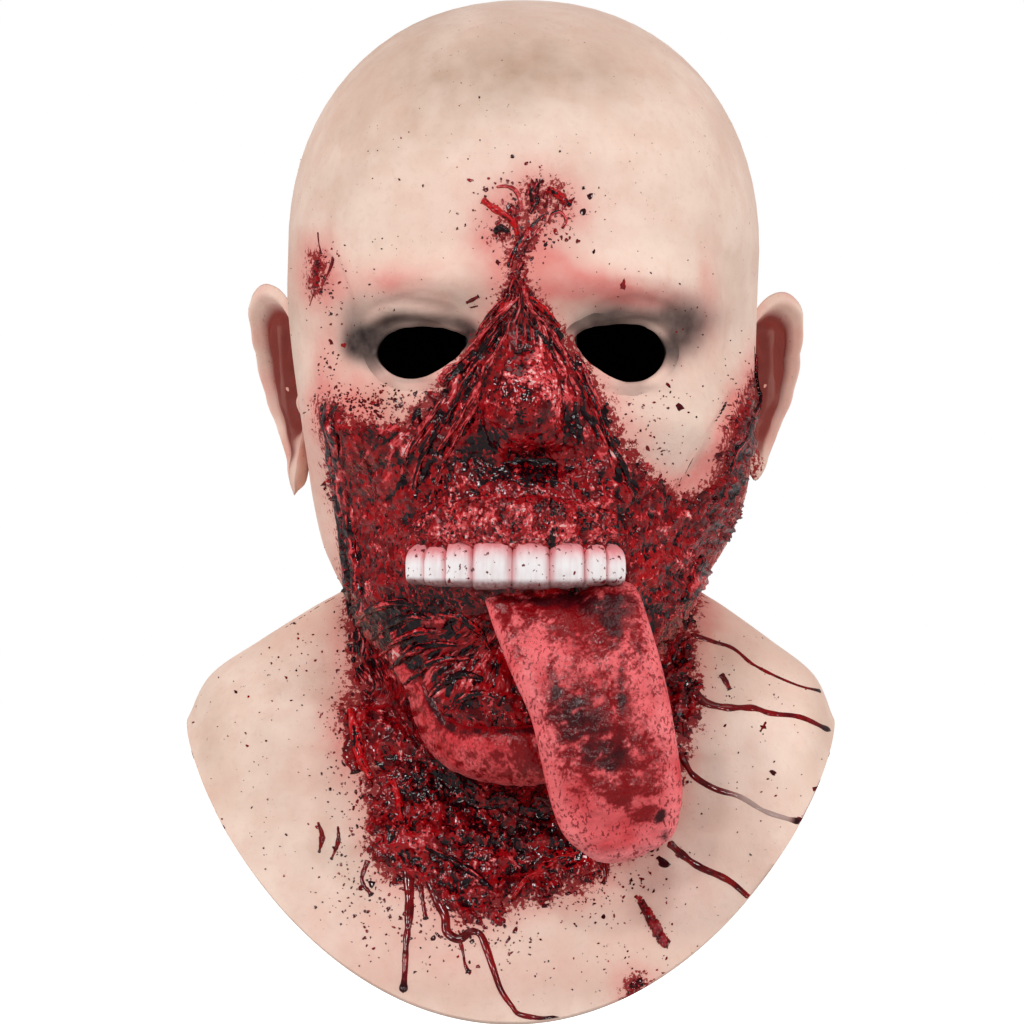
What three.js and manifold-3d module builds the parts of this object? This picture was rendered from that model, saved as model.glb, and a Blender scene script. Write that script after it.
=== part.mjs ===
// A hollow latex zombie mask that covers the whole head, with a bib over the chest, shoulders and back.
// Millimetres, +Z up, the face looks towards -Y. The origin is on the inside of the crown, where the mask sits on
// the wearer's head. Every piece is a loft: a list of rings of points, closed by a fan at each end.
import * as THREE from "three";
import { mergeVertices } from "three/addons/utils/BufferGeometryUtils.js";
import Module from "manifold-3d";

const wasm = await Module();
wasm.setup();

// Skin: one wall of latex, in three stretches, which are the dome, the head down to the neck, and the bib
const WALL = 2.2;
const HEAD_WIDTH = 181;
const FACE_REACH = 105;
const BACK_REACH = 121;
const DOME_HEIGHT = 96;
const DOME_POWER = 2.15;
const JAW_DROP = 130;
const THROAT_DROP = 208;
const NAPE_DROP = 150;
const NECK_WIDTH = 136;
const THROAT_REACH = 63;
const NAPE_REACH = 68;
const BIB_WIDTH = 249;
const BIB_LEAN = -4;
const BIB_SIDE_DROP = 50;
const BIB_FRONT_DROP = 80;
const BIB_BACK_DROP = 92;
const BIB_FRONT_REACH = 97;
const BIB_BACK_REACH = 90;

// Face: the eye holes, and the relief that is cast in the skin
const EYE_SPACING = 73.4;
const EYE_DROP = 136.6;
const EYE_WIDTH = 34;
const TEETH_DROP = 88;
const RELIEF = 10;

// Pieces that are seated on the skin, each at SEAT_GAP from what carries it
const SEAT_GAP = 0.4;
const TOOTH_HEIGHT = 18;
const TOOTH_DEPTH = 11;
const TOOTH_PROUD = 1.5;
const ARCH_WIDTH = 72;
const ARCH_SHIFT = -1.9;
const GUM_HEIGHT = 21;
const GUM_THICK = 6;
const GUM_OVERLAP = 4;
const GUM_BOW = 10;
const LIP_WIDTH = 18;
const LIP_THICK = 9;
const LIP_SPAN = 52;
const LIP_DROP = 51;
const LIP_START = 8;
const TONGUE_WIDTH = 56;
const TONGUE_THICK = 16;
const TONGUE_DROP = 98;
const TONGUE_REACH = 36;
const TONGUE_SWAY = 30;
const WOUND_THICK = 2.6;
const EAR_DROP = 109;
const EAR_HEIGHT = 78;
const EAR_THICK = 4.5;
const EAR_BOWL = 8;
const EAR_ROLL = 2.2;
const EAR_SINK = 4.5;

// Facets round the skin, and down its three stretches
const SKIN_SIDES = 38;
const DOME_STEPS = 6;
const HEAD_STEPS = 22;
const BIB_STEPS = 7;
const CROWN_START = 0.04;
const MERGE_FACETS = 0.15;

const TURN = 2 * Math.PI;
const FULL_TURN = 360;
const FRONT = -1;
const mix = (a, b, share) => a + (b - a) * share;
const radians = THREE.MathUtils.degToRad;
const smoothstep = (x, low, high) => THREE.MathUtils.smoothstep(x, low, high);

const WIDEST_Z = WALL - DOME_HEIGHT;
const EYE_Z = WALL - EYE_DROP;
const TEETH_Z = EYE_Z - TEETH_DROP;

// side, front and back: shares of JAW_DROP, THROAT_DROP and NAPE_DROP. slim, fore and aft: shares of the way from
// the head's half width and reaches to the neck's. lean: sideways, in mm. power: the squareness, 2 for an ellipse.
const HEAD_RINGS = [
  { side: 0.0, front: 0.0, back: 0.0, slim: 0.0, fore: 0.0, aft: 0.0, lean: 1.0, power: 2.2 },
  { side: 0.14, front: 0.1, back: 0.13, slim: 0.01, fore: 0.0, aft: 0.0, lean: 0.5, power: 2.25 },
  { side: 0.29, front: 0.21, back: 0.27, slim: 0.06, fore: 0.04, aft: 0.08, lean: 1.0, power: 2.3 },
  { side: 0.44, front: 0.32, back: 0.4, slim: 0.13, fore: 0.06, aft: 0.23, lean: 2.0, power: 2.3 },
  { side: 0.585, front: 0.43, back: 0.515, slim: 0.21, fore: 0.08, aft: 0.42, lean: 3.0, power: 2.25 },
  { side: 0.73, front: 0.54, back: 0.615, slim: 0.33, fore: 0.1, aft: 0.6, lean: 3.0, power: 2.2 },
  { side: 0.86, front: 0.665, back: 0.715, slim: 0.56, fore: 0.14, aft: 0.77, lean: 1.5, power: 2.1 },
  { side: 0.935, front: 0.8, back: 0.81, slim: 0.78, fore: 0.17, aft: 0.89, lean: 0.5, power: 2.05 },
  { side: 0.975, front: 0.91, back: 0.9, slim: 0.92, fore: 0.4, aft: 0.96, lean: 0.0, power: 2.0 },
  { side: 1.0, front: 1.0, back: 1.0, slim: 1.0, fore: 1.0, aft: 1.0, lean: 0.0, power: 2.05 },
];

// Shares of the way from the neck to the hem: down at the side, front and back, and out at the same three places.
const BIB_RINGS = [
  { side: 0.14, front: 0.2, back: 0.23, wide: 0.2, fore: 0.1, aft: 0.18, power: 2.15 },
  { side: 0.39, front: 0.45, back: 0.48, wide: 0.53, fore: 0.36, aft: 0.54, power: 2.25 },
  { side: 0.66, front: 0.72, back: 0.74, wide: 0.85, fore: 0.68, aft: 0.82, power: 2.3 },
  { side: 1.0, front: 1.0, back: 1.0, wide: 1.0, fore: 1.0, aft: 1.0, power: 2.3 },
];

// The rings in millimetres. dip: the power of the curve from the side of a ring down to its front and back.
const NECK = { side: -JAW_DROP, front: -THROAT_DROP, back: -NAPE_DROP };
const RINGS = [
  ...HEAD_RINGS.map((ring) => ({
    side: WIDEST_Z + NECK.side * ring.side,
    front: WIDEST_Z + NECK.front * ring.front,
    back: WIDEST_Z + NECK.back * ring.back,
    wide: mix(HEAD_WIDTH, NECK_WIDTH, ring.slim) / 2,
    fore: mix(FACE_REACH, THROAT_REACH, ring.fore),
    aft: mix(BACK_REACH, NAPE_REACH, ring.aft),
    power: ring.power,
    lean: ring.lean,
    dip: 2,
  })),
  ...BIB_RINGS.map((ring) => ({
    side: WIDEST_Z + NECK.side - BIB_SIDE_DROP * ring.side,
    front: WIDEST_Z + NECK.front - BIB_FRONT_DROP * ring.front,
    back: WIDEST_Z + NECK.back - BIB_BACK_DROP * ring.back,
    wide: mix(NECK_WIDTH, BIB_WIDTH, ring.wide) / 2,
    fore: mix(THROAT_REACH, BIB_FRONT_REACH, ring.fore),
    aft: mix(NAPE_REACH, BIB_BACK_REACH, ring.aft),
    power: ring.power,
    lean: BIB_LEAN * ring.wide,
    dip: mix(2, 1.5, ring.side),
  })),
];
const LAST_RING = RINGS.length;

// Lumps and dents of the face and throat. x: share of half the eye spacing. down: share of the way from the eyes to
// the teeth's edge. wide and tall: shares of half the eye spacing. lift: share of RELIEF. A twin is on both sides.
const FEATURES = [
  { name: "eye socket", x: 1.04, down: -0.03, wide: 0.62, tall: 0.34, lift: -1.35, twin: true },
  { name: "brow ridge", x: 0.86, down: -0.29, wide: 0.72, tall: 0.24, lift: 0.55, twin: true },
  { name: "brow bridge", x: 0.0, down: -0.26, wide: 0.3, tall: 0.34, lift: 0.25, twin: false },
  { name: "temple hollow", x: 2.15, down: -0.05, wide: 0.4, tall: 0.55, lift: -0.4, twin: true },
  { name: "cheekbone", x: 1.62, down: 0.32, wide: 0.52, tall: 0.34, lift: 0.7, twin: true },
  { name: "nose mound", x: 0.0, down: 0.24, wide: 0.36, tall: 0.62, lift: 1.5, twin: false },
  { name: "nasal hollow", x: 0.12, down: 0.46, wide: 0.4, tall: 0.16, lift: -0.9, twin: false },
  { name: "upper jaw", x: 0.0, down: 0.8, wide: 1.0, tall: 0.5, lift: 0.9, twin: false },
  { name: "cheek hollow", x: 1.62, down: 0.72, wide: 0.5, tall: 0.6, lift: -0.75, twin: true },
  { name: "open mouth", x: -0.05, down: 1.26, wide: 0.95, tall: 0.36, lift: -1.3, twin: false },
  { name: "chin", x: 0.1, down: 1.68, wide: 0.8, tall: 0.28, lift: 0.4, twin: false },
  { name: "throat notch", x: 0.0, down: 2.12, wide: 0.3, tall: 0.3, lift: -0.35, twin: false },
  { name: "collar bone", x: 1.4, down: 2.06, wide: 1.1, tall: 0.14, lift: 0.3, twin: true },
];

// Outline of an eye hole. turn: degrees from its outer corner, towards its top. reach: share of half EYE_WIDTH.
const EYE_OUTLINE = [
  { turn: 0, reach: 1.0 },
  { turn: 17, reach: 0.9 },
  { turn: 35, reach: 0.74 },
  { turn: 70, reach: 0.55 },
  { turn: 115, reach: 0.56 },
  { turn: 145, reach: 0.77 },
  { turn: 159, reach: 0.94 },
  { turn: 168, reach: 1.0 },
  { turn: 182, reach: 0.86 },
  { turn: 204, reach: 0.68 },
  { turn: 236, reach: 0.6 },
  { turn: 268, reach: 0.63 },
  { turn: 291, reach: 0.71 },
  { turn: 313, reach: 0.81 },
  { turn: 334, reach: 0.91 },
  { turn: 350, reach: 0.98 },
];
const EYES = [
  { side: -1, tall: 0.96 },
  { side: 1, tall: 1.06 },
];

// The upper teeth from left to right. wide: share of ARCH_WIDTH. tall: share of TOOTH_HEIGHT.
const TEETH = [
  { wide: 0.092, tall: 0.74 },
  { wide: 0.1, tall: 0.8 },
  { wide: 0.12, tall: 0.92 },
  { wide: 0.176, tall: 1.0 },
  { wide: 0.168, tall: 0.98 },
  { wide: 0.155, tall: 0.95 },
  { wide: 0.098, tall: 0.88 },
  { wide: 0.091, tall: 0.76 },
];

// A tooth from its root to its edge. down: share of its height. wide and deep: shares of its width and depth.
const TOOTH_SECTIONS = [
  { down: 0.0, wide: 0.5, deep: 0.55 },
  { down: 0.12, wide: 0.78, deep: 0.75 },
  { down: 0.8, wide: 0.97, deep: 1.0 },
  { down: 0.96, wide: 0.9, deep: 0.9 },
  { down: 1.0, wide: 0.76, deep: 0.72 },
];

// The tongue from its root behind the teeth to its tip. across, out and down: shares of TONGUE_SWAY, TONGUE_REACH
// and TONGUE_DROP. wide and thick: shares of TONGUE_WIDTH and TONGUE_THICK.
const TONGUE_SECTIONS = [
  { across: 0.0, out: 0.0, down: 0.0, wide: 0.95, thick: 0.55 },
  { across: 0.17, out: 0.45, down: 0.05, wide: 1.0, thick: 0.7 },
  { across: 0.38, out: 0.8, down: 0.22, wide: 0.97, thick: 0.9 },
  { across: 0.6, out: 0.96, down: 0.415, wide: 0.91, thick: 1.0 },
  { across: 0.78, out: 1.0, down: 0.69, wide: 0.88, thick: 1.05 },
  { across: 0.86, out: 0.95, down: 0.82, wide: 0.83, thick: 1.05 },
  { across: 0.93, out: 0.9, down: 0.91, wide: 0.7, thick: 0.95 },
  { across: 0.97, out: 0.86, down: 0.97, wide: 0.5, thick: 0.75 },
  { across: 1.0, out: 0.84, down: 1.0, wide: 0.2, thick: 0.4 },
];
const TONGUE_ROOT = { x: 10, y: -82, above: 0 };

// The lower lip from the left corner of the mouth to its end behind the tongue. across and down: shares of
// LIP_SPAN and LIP_DROP. full: share of LIP_WIDTH and LIP_THICK.
const LIP_PATH = [
  { across: -0.94, down: 0.27, full: 0.26 },
  { across: -0.84, down: 0.45, full: 0.3 },
  { across: -0.73, down: 0.58, full: 0.38 },
  { across: -0.56, down: 0.85, full: 0.66 },
  { across: -0.36, down: 0.97, full: 0.9 },
  { across: -0.07, down: 1.0, full: 1.0 },
  { across: 0.13, down: 0.99, full: 1.0 },
  { across: 0.38, down: 0.94, full: 0.85 },
  { across: 0.59, down: 0.79, full: 0.55 },
];

// Raised wounds from top to bottom. down: share of TEETH_DROP below the eyes. left and right: shares of half the
// eye spacing.
const FACE_WOUND = [
  { down: -0.24, left: -0.11, right: 0.02 },
  { down: -0.17, left: -0.23, right: 0.19 },
  { down: -0.08, left: -0.34, right: 0.37 },
  { down: 0.01, left: -0.42, right: 0.48 },
  { down: 0.106, left: -0.75, right: 0.75 },
  { down: 0.19, left: -1.62, right: 0.85 },
  { down: 0.336, left: -1.94, right: 1.07 },
  { down: 0.48, left: -1.92, right: 1.32 },
  { down: 0.63, left: -1.86, right: 1.7 },
  { down: 0.8, left: -1.82, right: 1.92 },
  { down: 0.965, left: -1.74, right: 1.84 },
  { down: 1.13, left: -1.64, right: 1.74 },
  { down: 1.3, left: -1.52, right: 1.7 },
  { down: 1.425, left: -1.38, right: 1.66 },
];
const NECK_WOUND = [
  { down: 1.476, left: -1.6, right: 1.66 },
  { down: 1.625, left: -1.8, right: 1.7 },
  { down: 1.773, left: -1.66, right: 1.41 },
  { down: 1.943, left: -1.55, right: 1.36 },
  { down: 2.11, left: -1.51, right: 1.21 },
  { down: 2.24, left: -1.38, right: 0.9 },
  { down: 2.345, left: -0.98, right: 0.65 },
  { down: 2.43, left: -0.6, right: -0.06 },
];

// Ears. down and tall: shares of EAR_DROP and EAR_HEIGHT. flare: degrees that the ear stands off the head at its
// middle. spread: how many more that is at its top, and fewer at its lobe.
const EARS = [
  { name: "ear_left", side: -1, down: 0.99, tall: 1.05, flare: 22, spread: 14 },
  { name: "ear_right", side: 1, down: 1.02, tall: 0.935, flare: 39, spread: 7 },
];

// Ear outline. turn: degrees from straight back, towards the top. reach: share of the ear's half height.
const EAR_OUTLINE = [
  { turn: 0, reach: 0.44 },
  { turn: 38, reach: 0.62 },
  { turn: 49, reach: 0.78 },
  { turn: 61, reach: 0.96 },
  { turn: 78, reach: 1.02 },
  { turn: 95, reach: 0.93 },
  { turn: 116, reach: 0.73 },
  { turn: 150, reach: 0.48 },
  { turn: 204, reach: 0.48 },
  { turn: 236, reach: 0.74 },
  { turn: 251, reach: 0.98 },
  { turn: 261, reach: 1.01 },
  { turn: 274, reach: 0.76 },
  { turn: 294, reach: 0.54 },
  { turn: 326, reach: 0.44 },
];

// The value of each column at a place between rows, on a smooth curve through the rows.
function alongRows(rows, place) {
  const first = Math.min(Math.max(Math.floor(place), 0), rows.length - 2);
  const share = place - first;
  const row = (i) => rows[Math.min(Math.max(i, 0), rows.length - 1)];
  const made = {};
  for (const column of Object.keys(rows[0])) {
    const [a, b, c, d] = [-1, 0, 1, 2].map((step) => row(first + step)[column]);
    const low = first === 0 ? c - b : (c - a) / 2;
    const high = first === rows.length - 2 ? c - b : (d - b) / 2;
    const square = share * share;
    const cube = square * share;
    made[column] =
      (2 * cube - 3 * square + 1) * b +
      (cube - 2 * square + share) * low +
      (3 * square - 2 * cube) * c +
      (cube - square) * high;
  }
  return made;
}

// The reach of a closed outline in a direction, in degrees, on a smooth curve through its rows.
function outlineReach(rows, degrees) {
  const count = rows.length;
  const turn = ((degrees % FULL_TURN) + FULL_TURN) % FULL_TURN;
  let index = count - 1;
  while (index > 0 && rows[index].turn > turn) index--;
  const row = (i) => rows[(i + count) % count];
  const gap = (((row(index + 1).turn - row(index).turn) % 360) + 360) % 360;
  const share = (((turn - row(index).turn) % 360) + 360) % 360 / gap;
  const [a, b, c, d] = [-1, 0, 1, 2].map((step) => row(index + step).reach);
  const low = (c - a) / 2;
  const high = (d - b) / 2;
  const square = share * share;
  const cube = square * share;
  return (
    (2 * cube - 3 * square + 1) * b +
    (cube - 2 * square + share) * low +
    (3 * square - 2 * cube) * c +
    (cube - square) * high
  );
}

// A ring's own sizes. Place 0 is the crown, 1 the widest ring, and LAST_RING the hem.
function ringAt(place) {
  if (place >= 1) return alongRows(RINGS, place - 1);
  const turn = (place * Math.PI) / 2;
  const size = Math.sin(turn) ** (2 / DOME_POWER);
  const height = DOME_HEIGHT * Math.cos(turn) ** (2 / DOME_POWER);
  const widest = RINGS[0];
  return {
    ...widest,
    side: WIDEST_Z + height,
    front: WIDEST_Z + height,
    back: WIDEST_Z + height,
    wide: widest.wide * size,
    fore: widest.fore * size,
    aft: widest.aft * size,
  };
}

// The skin without relief, at an angle round the head that is 0 at the front and positive towards +X.
function plainSkin(angle, place) {
  const ring = ringAt(place);
  const isFront = Math.cos(angle) > 0;
  const across = Math.sign(Math.sin(angle)) * Math.abs(Math.sin(angle)) ** (2 / ring.power);
  const along = Math.abs(Math.cos(angle)) ** (2 / ring.power);
  const fall = Math.max(1 - across * across, 0) ** (ring.dip / 2);
  return new THREE.Vector3(
    ring.lean + ring.wide * across,
    isFront ? FRONT * ring.fore * along : ring.aft * along,
    mix(ring.side, isFront ? ring.front : ring.back, fall),
  );
}

// How far the relief lifts the skin at a point of the face.
function reliefAt(point) {
  const half = EYE_SPACING / 2;
  const gate = smoothstep(-point.y, 5, 45);
  let lift = 0;
  for (const feature of FEATURES) {
    for (const side of feature.twin ? [-1, 1] : [1]) {
      const x = (point.x - side * feature.x * half) / (feature.wide * half);
      const z = (point.z - (EYE_Z - feature.down * TEETH_DROP)) / (feature.tall * half);
      lift += feature.lift * RELIEF * Math.exp(-x * x - z * z);
    }
  }
  return lift * gate;
}

// The outward direction of a surface, from four points close to the one asked for.
function outward(surface, angle, place) {
  const step = 0.01;
  const low = Math.max(place - step, step);
  const high = Math.min(place + step, LAST_RING);
  const round = surface(angle + step, place).sub(surface(angle - step, place));
  const down = surface(angle, high).sub(surface(angle, low));
  return down.cross(round).normalize();
}

function reliefSkin(angle, place) {
  const point = plainSkin(angle, place);
  if (place < 0.5) return point;
  return point.addScaledVector(outward(plainSkin, angle, place), reliefAt(point));
}

// A point at a height above the outer skin, or below it when the height is negative.
function skin(angle, place, height) {
  if (place === 0) return new THREE.Vector3(0, 0, WALL + height);
  return reliefSkin(angle, place).addScaledVector(outward(reliefSkin, angle, place), height);
}

// The angle and place of the skin behind a point of the front view.
function behind(x, z) {
  let [low, high] = [0.3, LAST_RING];
  let place = low;
  let angle = 0;
  for (let halving = 0; halving < 24; halving++) {
    place = (low + high) / 2;
    const ring = ringAt(place);
    const across = THREE.MathUtils.clamp((x - ring.lean) / ring.wide, -0.995, 0.995);
    angle = Math.sign(across) * Math.asin(Math.abs(across) ** (ring.power / 2));
    if (plainSkin(angle, place).z > z) low = place;
    else high = place;
  }
  return { angle, place };
}

// A point at a height above the skin, at a place of the front view.
function onFace(x, z, height) {
  const { angle, place } = behind(x, z);
  return skin(angle, place, height);
}

// A closed geometry through rings of points, each end closed by a fan to the middle of its ring.
function loft(rings) {
  const sides = rings[0].length;
  const middle = (ring) =>
    ring.reduce((sum, point) => sum.add(point), new THREE.Vector3()).divideScalar(ring.length);
  const points = [middle(rings[0]), ...rings.flat(), middle(rings[rings.length - 1])];
  const at = (ring, side) => 1 + ring * sides + (side % sides);
  const faces = [];
  for (let side = 0; side < sides; side++) {
    faces.push(0, at(0, side + 1), at(0, side));
    faces.push(points.length - 1, at(rings.length - 1, side), at(rings.length - 1, side + 1));
    for (let ring = 0; ring + 1 < rings.length; ring++) {
      const [a, b, c, d] = [at(ring, side), at(ring, side + 1), at(ring + 1, side + 1), at(ring + 1, side)];
      faces.push(a, b, c, a, c, d);
    }
  }
  return new THREE.BufferGeometry().setFromPoints(points).setIndex(faces);
}

// A geometry as a solid, turned right side out.
function solid(geometry) {
  for (const name of ["normal", "uv"]) geometry.deleteAttribute(name);
  const merged = mergeVertices(geometry, 1e-4);
  const triVerts = new Uint32Array(merged.index.array);
  const vertProperties = merged.attributes.position.array;
  const made = new wasm.Manifold(new wasm.Mesh({ numProp: 3, vertProperties, triVerts }));
  if (made.volume() > 0) return made;
  for (let i = 0; i < triVerts.length; i += 3) {
    [triVerts[i + 1], triVerts[i + 2]] = [triVerts[i + 2], triVerts[i + 1]];
  }
  return new wasm.Manifold(new wasm.Mesh({ numProp: 3, vertProperties, triVerts }));
}

const loftSolid = (rings) => solid(loft(rings));
const without = (piece, ...cutters) => cutters.reduce((left, cutter) => left.subtract(cutter), piece);
const steps = (count) => Array.from({ length: count }, (_, i) => i);

// The largest body of a solid, without the crumbs that a cut leaves.
function largest(piece) {
  return piece.decompose().reduce((best, body) => (body.volume() > best.volume() ? body : best));
}

// One ring of skin points, closer together at the face than at the back.
function skinRing(place, height) {
  return steps(SKIN_SIDES).map((i) => {
    const turn = (i / SKIN_SIDES) * TURN - Math.PI;
    return skin(turn - 0.3 * Math.sin(turn), place, height);
  });
}

function skinPlaces() {
  const neck = HEAD_RINGS.length;
  const stretch = (from, to, count) => steps(count).map((i) => mix(from, to, (i + 1) / count));
  return [
    CROWN_START,
    ...stretch(0, 1, DOME_STEPS),
    ...stretch(1, neck, HEAD_STEPS),
    ...stretch(neck, LAST_RING, BIB_STEPS),
  ];
}

// The wall of latex: its inner face from the crown to the hem, then its outer face back up.
function skinWall() {
  const places = skinPlaces();
  const inner = places.map((place) => skinRing(place, -WALL));
  const outer = places.map((place) => skinRing(place, 0)).reverse();
  return loftSolid([...inner, ...outer]);
}

// The head and bib as a full block, grown by a gap. What is seated on the skin is cut back by it.
function skinBlock(gap) {
  return loftSolid(skinPlaces().reverse().map((place) => skinRing(place, gap)));
}

// A straight block through the front of the head with an outline of the front view.
function prism(outline) {
  const made = new THREE.ExtrudeGeometry(new THREE.Shape(outline), { depth: 2 * FACE_REACH, bevelEnabled: false });
  return solid(made.rotateX(Math.PI / 2));
}

// An eye hole has a flat top and narrows towards the nose.
function eyeHole({ side, tall }) {
  const outline = steps(30).map((i) => {
    const degrees = (i / 30) * FULL_TURN;
    const far = (outlineReach(EYE_OUTLINE, degrees) * EYE_WIDTH) / 2;
    const x = side * (EYE_SPACING / 2 + far * Math.cos(radians(degrees)));
    return new THREE.Vector2(x, EYE_Z + far * tall * Math.sin(radians(degrees)));
  });
  return prism(outline);
}

// A tooth, its back in the skin. grow widens it on every side, for the hollow that a neighbour leaves it.
function tooth(index, grow) {
  const before = TEETH.slice(0, index).reduce((sum, row) => sum + row.wide, 0);
  const row = TEETH[index];
  const x = ARCH_SHIFT + ARCH_WIDTH * (before + row.wide / 2 - 0.5);
  const height = TOOTH_HEIGHT * row.tall;
  const edge = TEETH_Z + 3 * (x / ARCH_WIDTH) ** 2 * TOOTH_HEIGHT * 0.25;
  const width = row.wide * ARCH_WIDTH;
  const seat = onFace(x, edge + height / 2, 0);
  const left = onFace(x - width / 2, edge + height / 2, 0);
  const right = onFace(x + width / 2, edge + height / 2, 0);
  const across = right.sub(left).setZ(0).normalize();
  const out = new THREE.Vector3(across.y, -across.x, 0);
  const halfWidth = width / 2 / Math.max(across.x, 0.3) - SEAT_GAP / 2;
  return loftSolid(
    TOOTH_SECTIONS.map((section) => {
      const z = edge + height * (1 - section.down) + grow * (1 - 2 * section.down);
      return steps(10).map((i) => {
        const turn = (i / 10) * TURN;
        const power = 2 / 2.6;
        const c = Math.sign(Math.cos(turn)) * Math.abs(Math.cos(turn)) ** power;
        const s = Math.sign(Math.sin(turn)) * Math.abs(Math.sin(turn)) ** power;
        return seat
          .clone()
          .setZ(z)
          .addScaledVector(across, c * (halfWidth * section.wide + grow))
          .addScaledVector(out, s * ((TOOTH_DEPTH / 2) * section.deep + grow) + TOOTH_PROUD);
      });
    }),
  );
}

// A padded strip over the skin along a path of the front view, with its back sunk in the skin.
function strip(path, halfWidthAt, thickAt, grow, count) {
  const sunk = -3;
  return loftSolid(
    steps(count + 1).map((i) => {
      const share = i / count;
      const ahead = path(Math.min(share + 0.01, 1)).sub(path(Math.max(share - 0.01, 0))).normalize();
      const beyond = i === 0 ? -grow : i === count ? grow : 0;
      const here = path(share).addScaledVector(ahead, beyond);
      const aside = new THREE.Vector2(-ahead.y, ahead.x);
      const half = halfWidthAt(share) + grow;
      return steps(10).map((k) => {
        const turn = (k / 10) * TURN;
        const offset = Math.cos(turn) * half;
        const high = thickAt(share) + grow;
        const height = Math.sin(turn) >= -1e-9 ? Math.sin(turn) * high : sunk;
        return onFace(here.x + aside.x * offset, here.y + aside.y * offset, height);
      });
    }),
  );
}

// The gum is a band over the roots of the teeth.
function gum(grow) {
  const base = TEETH_Z + TOOTH_HEIGHT - GUM_OVERLAP + GUM_HEIGHT / 2;
  const path = (share) =>
    new THREE.Vector2(ARCH_SHIFT + ARCH_WIDTH * 1.04 * (share - 0.5), base - GUM_BOW * (share - 0.5) ** 2);
  const narrow = (share) => 1 - 0.45 * Math.abs(2 * share - 1) ** 2.5;
  return strip(path, (s) => (GUM_HEIGHT / 2) * narrow(s), (s) => GUM_THICK * narrow(s), grow, 14);
}

// The lower lip hangs in a loop from the left corner of the mouth to its end behind the tongue.
function lip(grow) {
  const row = (share) => alongRows(LIP_PATH, share * (LIP_PATH.length - 1));
  const path = (share) =>
    new THREE.Vector2(ARCH_SHIFT + LIP_SPAN * row(share).across, TEETH_Z - LIP_START - LIP_DROP * row(share).down);
  return strip(path, (s) => (LIP_WIDTH / 2) * row(s).full, (s) => LIP_THICK * row(s).full, grow, 18);
}

function tongue(grow) {
  const root = new THREE.Vector3(TONGUE_ROOT.x, TONGUE_ROOT.y, TEETH_Z - TONGUE_ROOT.above);
  const count = 15;
  const last = TONGUE_SECTIONS.length - 1;
  const centre = (share) => {
    const row = alongRows(TONGUE_SECTIONS, share * last);
    return root
      .clone()
      .add(new THREE.Vector3(row.across * TONGUE_SWAY, -row.out * TONGUE_REACH, -row.down * TONGUE_DROP));
  };
  return loftSolid(
    steps(count + 1).map((i) => {
      const share = i / count;
      const row = alongRows(TONGUE_SECTIONS, share * last);
      const ahead = centre(Math.min(share + 0.02, 1)).sub(centre(Math.max(share - 0.02, 0))).normalize();
      const across = new THREE.Vector3(1, 0, 0).addScaledVector(ahead, -ahead.x).normalize();
      const top = ahead.clone().cross(across).normalize();
      return steps(18).map((k) => {
        const turn = (k / 18) * TURN;
        const groove = 1 - 0.16 * Math.exp(-((Math.cos(turn) / 0.22) ** 2)) * (Math.sin(turn) > 0 ? 1 : 0);
        return centre(share)
          .addScaledVector(across, Math.cos(turn) * ((TONGUE_WIDTH / 2) * row.wide + grow))
          .addScaledVector(top, Math.sin(turn) * groove * ((TONGUE_THICK / 2) * row.thick + grow));
      });
    }),
  );
}

// A wound is a layer over the skin between a left and a right edge.
function wound(rows, count) {
  const edges = steps(count + 1).map((i) => alongRows(rows, (i / count) * (rows.length - 1)));
  const at = (share, down) => new THREE.Vector2((share * EYE_SPACING) / 2, EYE_Z - down * TEETH_DROP);
  const outline = [...edges.map((row) => at(row.left, row.down)), ...edges.reverse().map((row) => at(row.right, row.down))];
  return skinBlock(SEAT_GAP + WOUND_THICK).intersect(prism(outline));
}

// An ear is a bowl with a rolled rim, its front edge in the skin. It flares more at its top than at its lobe.
function ear(row) {
  const height = EAR_HEIGHT * row.tall;
  const middle = WALL - EAR_DROP * row.down - height / 2;
  const bowl = (reach) => (reach < 0.78 ? -EAR_BOWL * (1 - (reach / 0.78) ** 2) : 0);
  const rim = (reach) => EAR_ROLL * Math.exp(-(((reach - 0.88) / 0.1) ** 2));
  const ring = (reach, lift) =>
    steps(24).map((i) => {
      const degrees = (i / 24) * FULL_TURN;
      const far = (outlineReach(EAR_OUTLINE, degrees) * height * reach) / 2;
      const up = far * Math.sin(radians(degrees));
      const back = 0.19 * EAR_HEIGHT + far * Math.cos(radians(degrees));
      const flare = radians(row.flare + (row.spread * up * 2) / height);
      const x = HEAD_WIDTH / 2 - EAR_SINK + back * Math.sin(flare) + lift * Math.cos(flare);
      return new THREE.Vector3(row.side * x, back * Math.cos(flare) - lift * Math.sin(flare), middle + up);
    });
  const reaches = [0.25, 0.5, 0.7, 0.84, 0.98];
  const face = reaches.map((reach) => ring(reach, bowl(reach) + rim(reach)));
  const rear = reaches.map((reach) => ring(reach, bowl(reach) * 0.9 - EAR_THICK * (1.3 - 0.6 * reach))).reverse();
  return loftSolid([...face, ...rear]);
}

const MATERIALS = {
  skin: new THREE.MeshStandardMaterial({ color: 0xe3c2ab, roughness: 0.55, metalness: 0 }),
  flesh: new THREE.MeshStandardMaterial({ color: 0x8c1a1c, roughness: 0.25, metalness: 0 }),
  gum: new THREE.MeshStandardMaterial({ color: 0xb4585a, roughness: 0.35, metalness: 0 }),
  tooth: new THREE.MeshStandardMaterial({ color: 0xf1e3e1, roughness: 0.3, metalness: 0 }),
  tongue: new THREE.MeshStandardMaterial({ color: 0xd8494b, roughness: 0.4, metalness: 0 }),
};

const mask = new THREE.Group();

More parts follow.
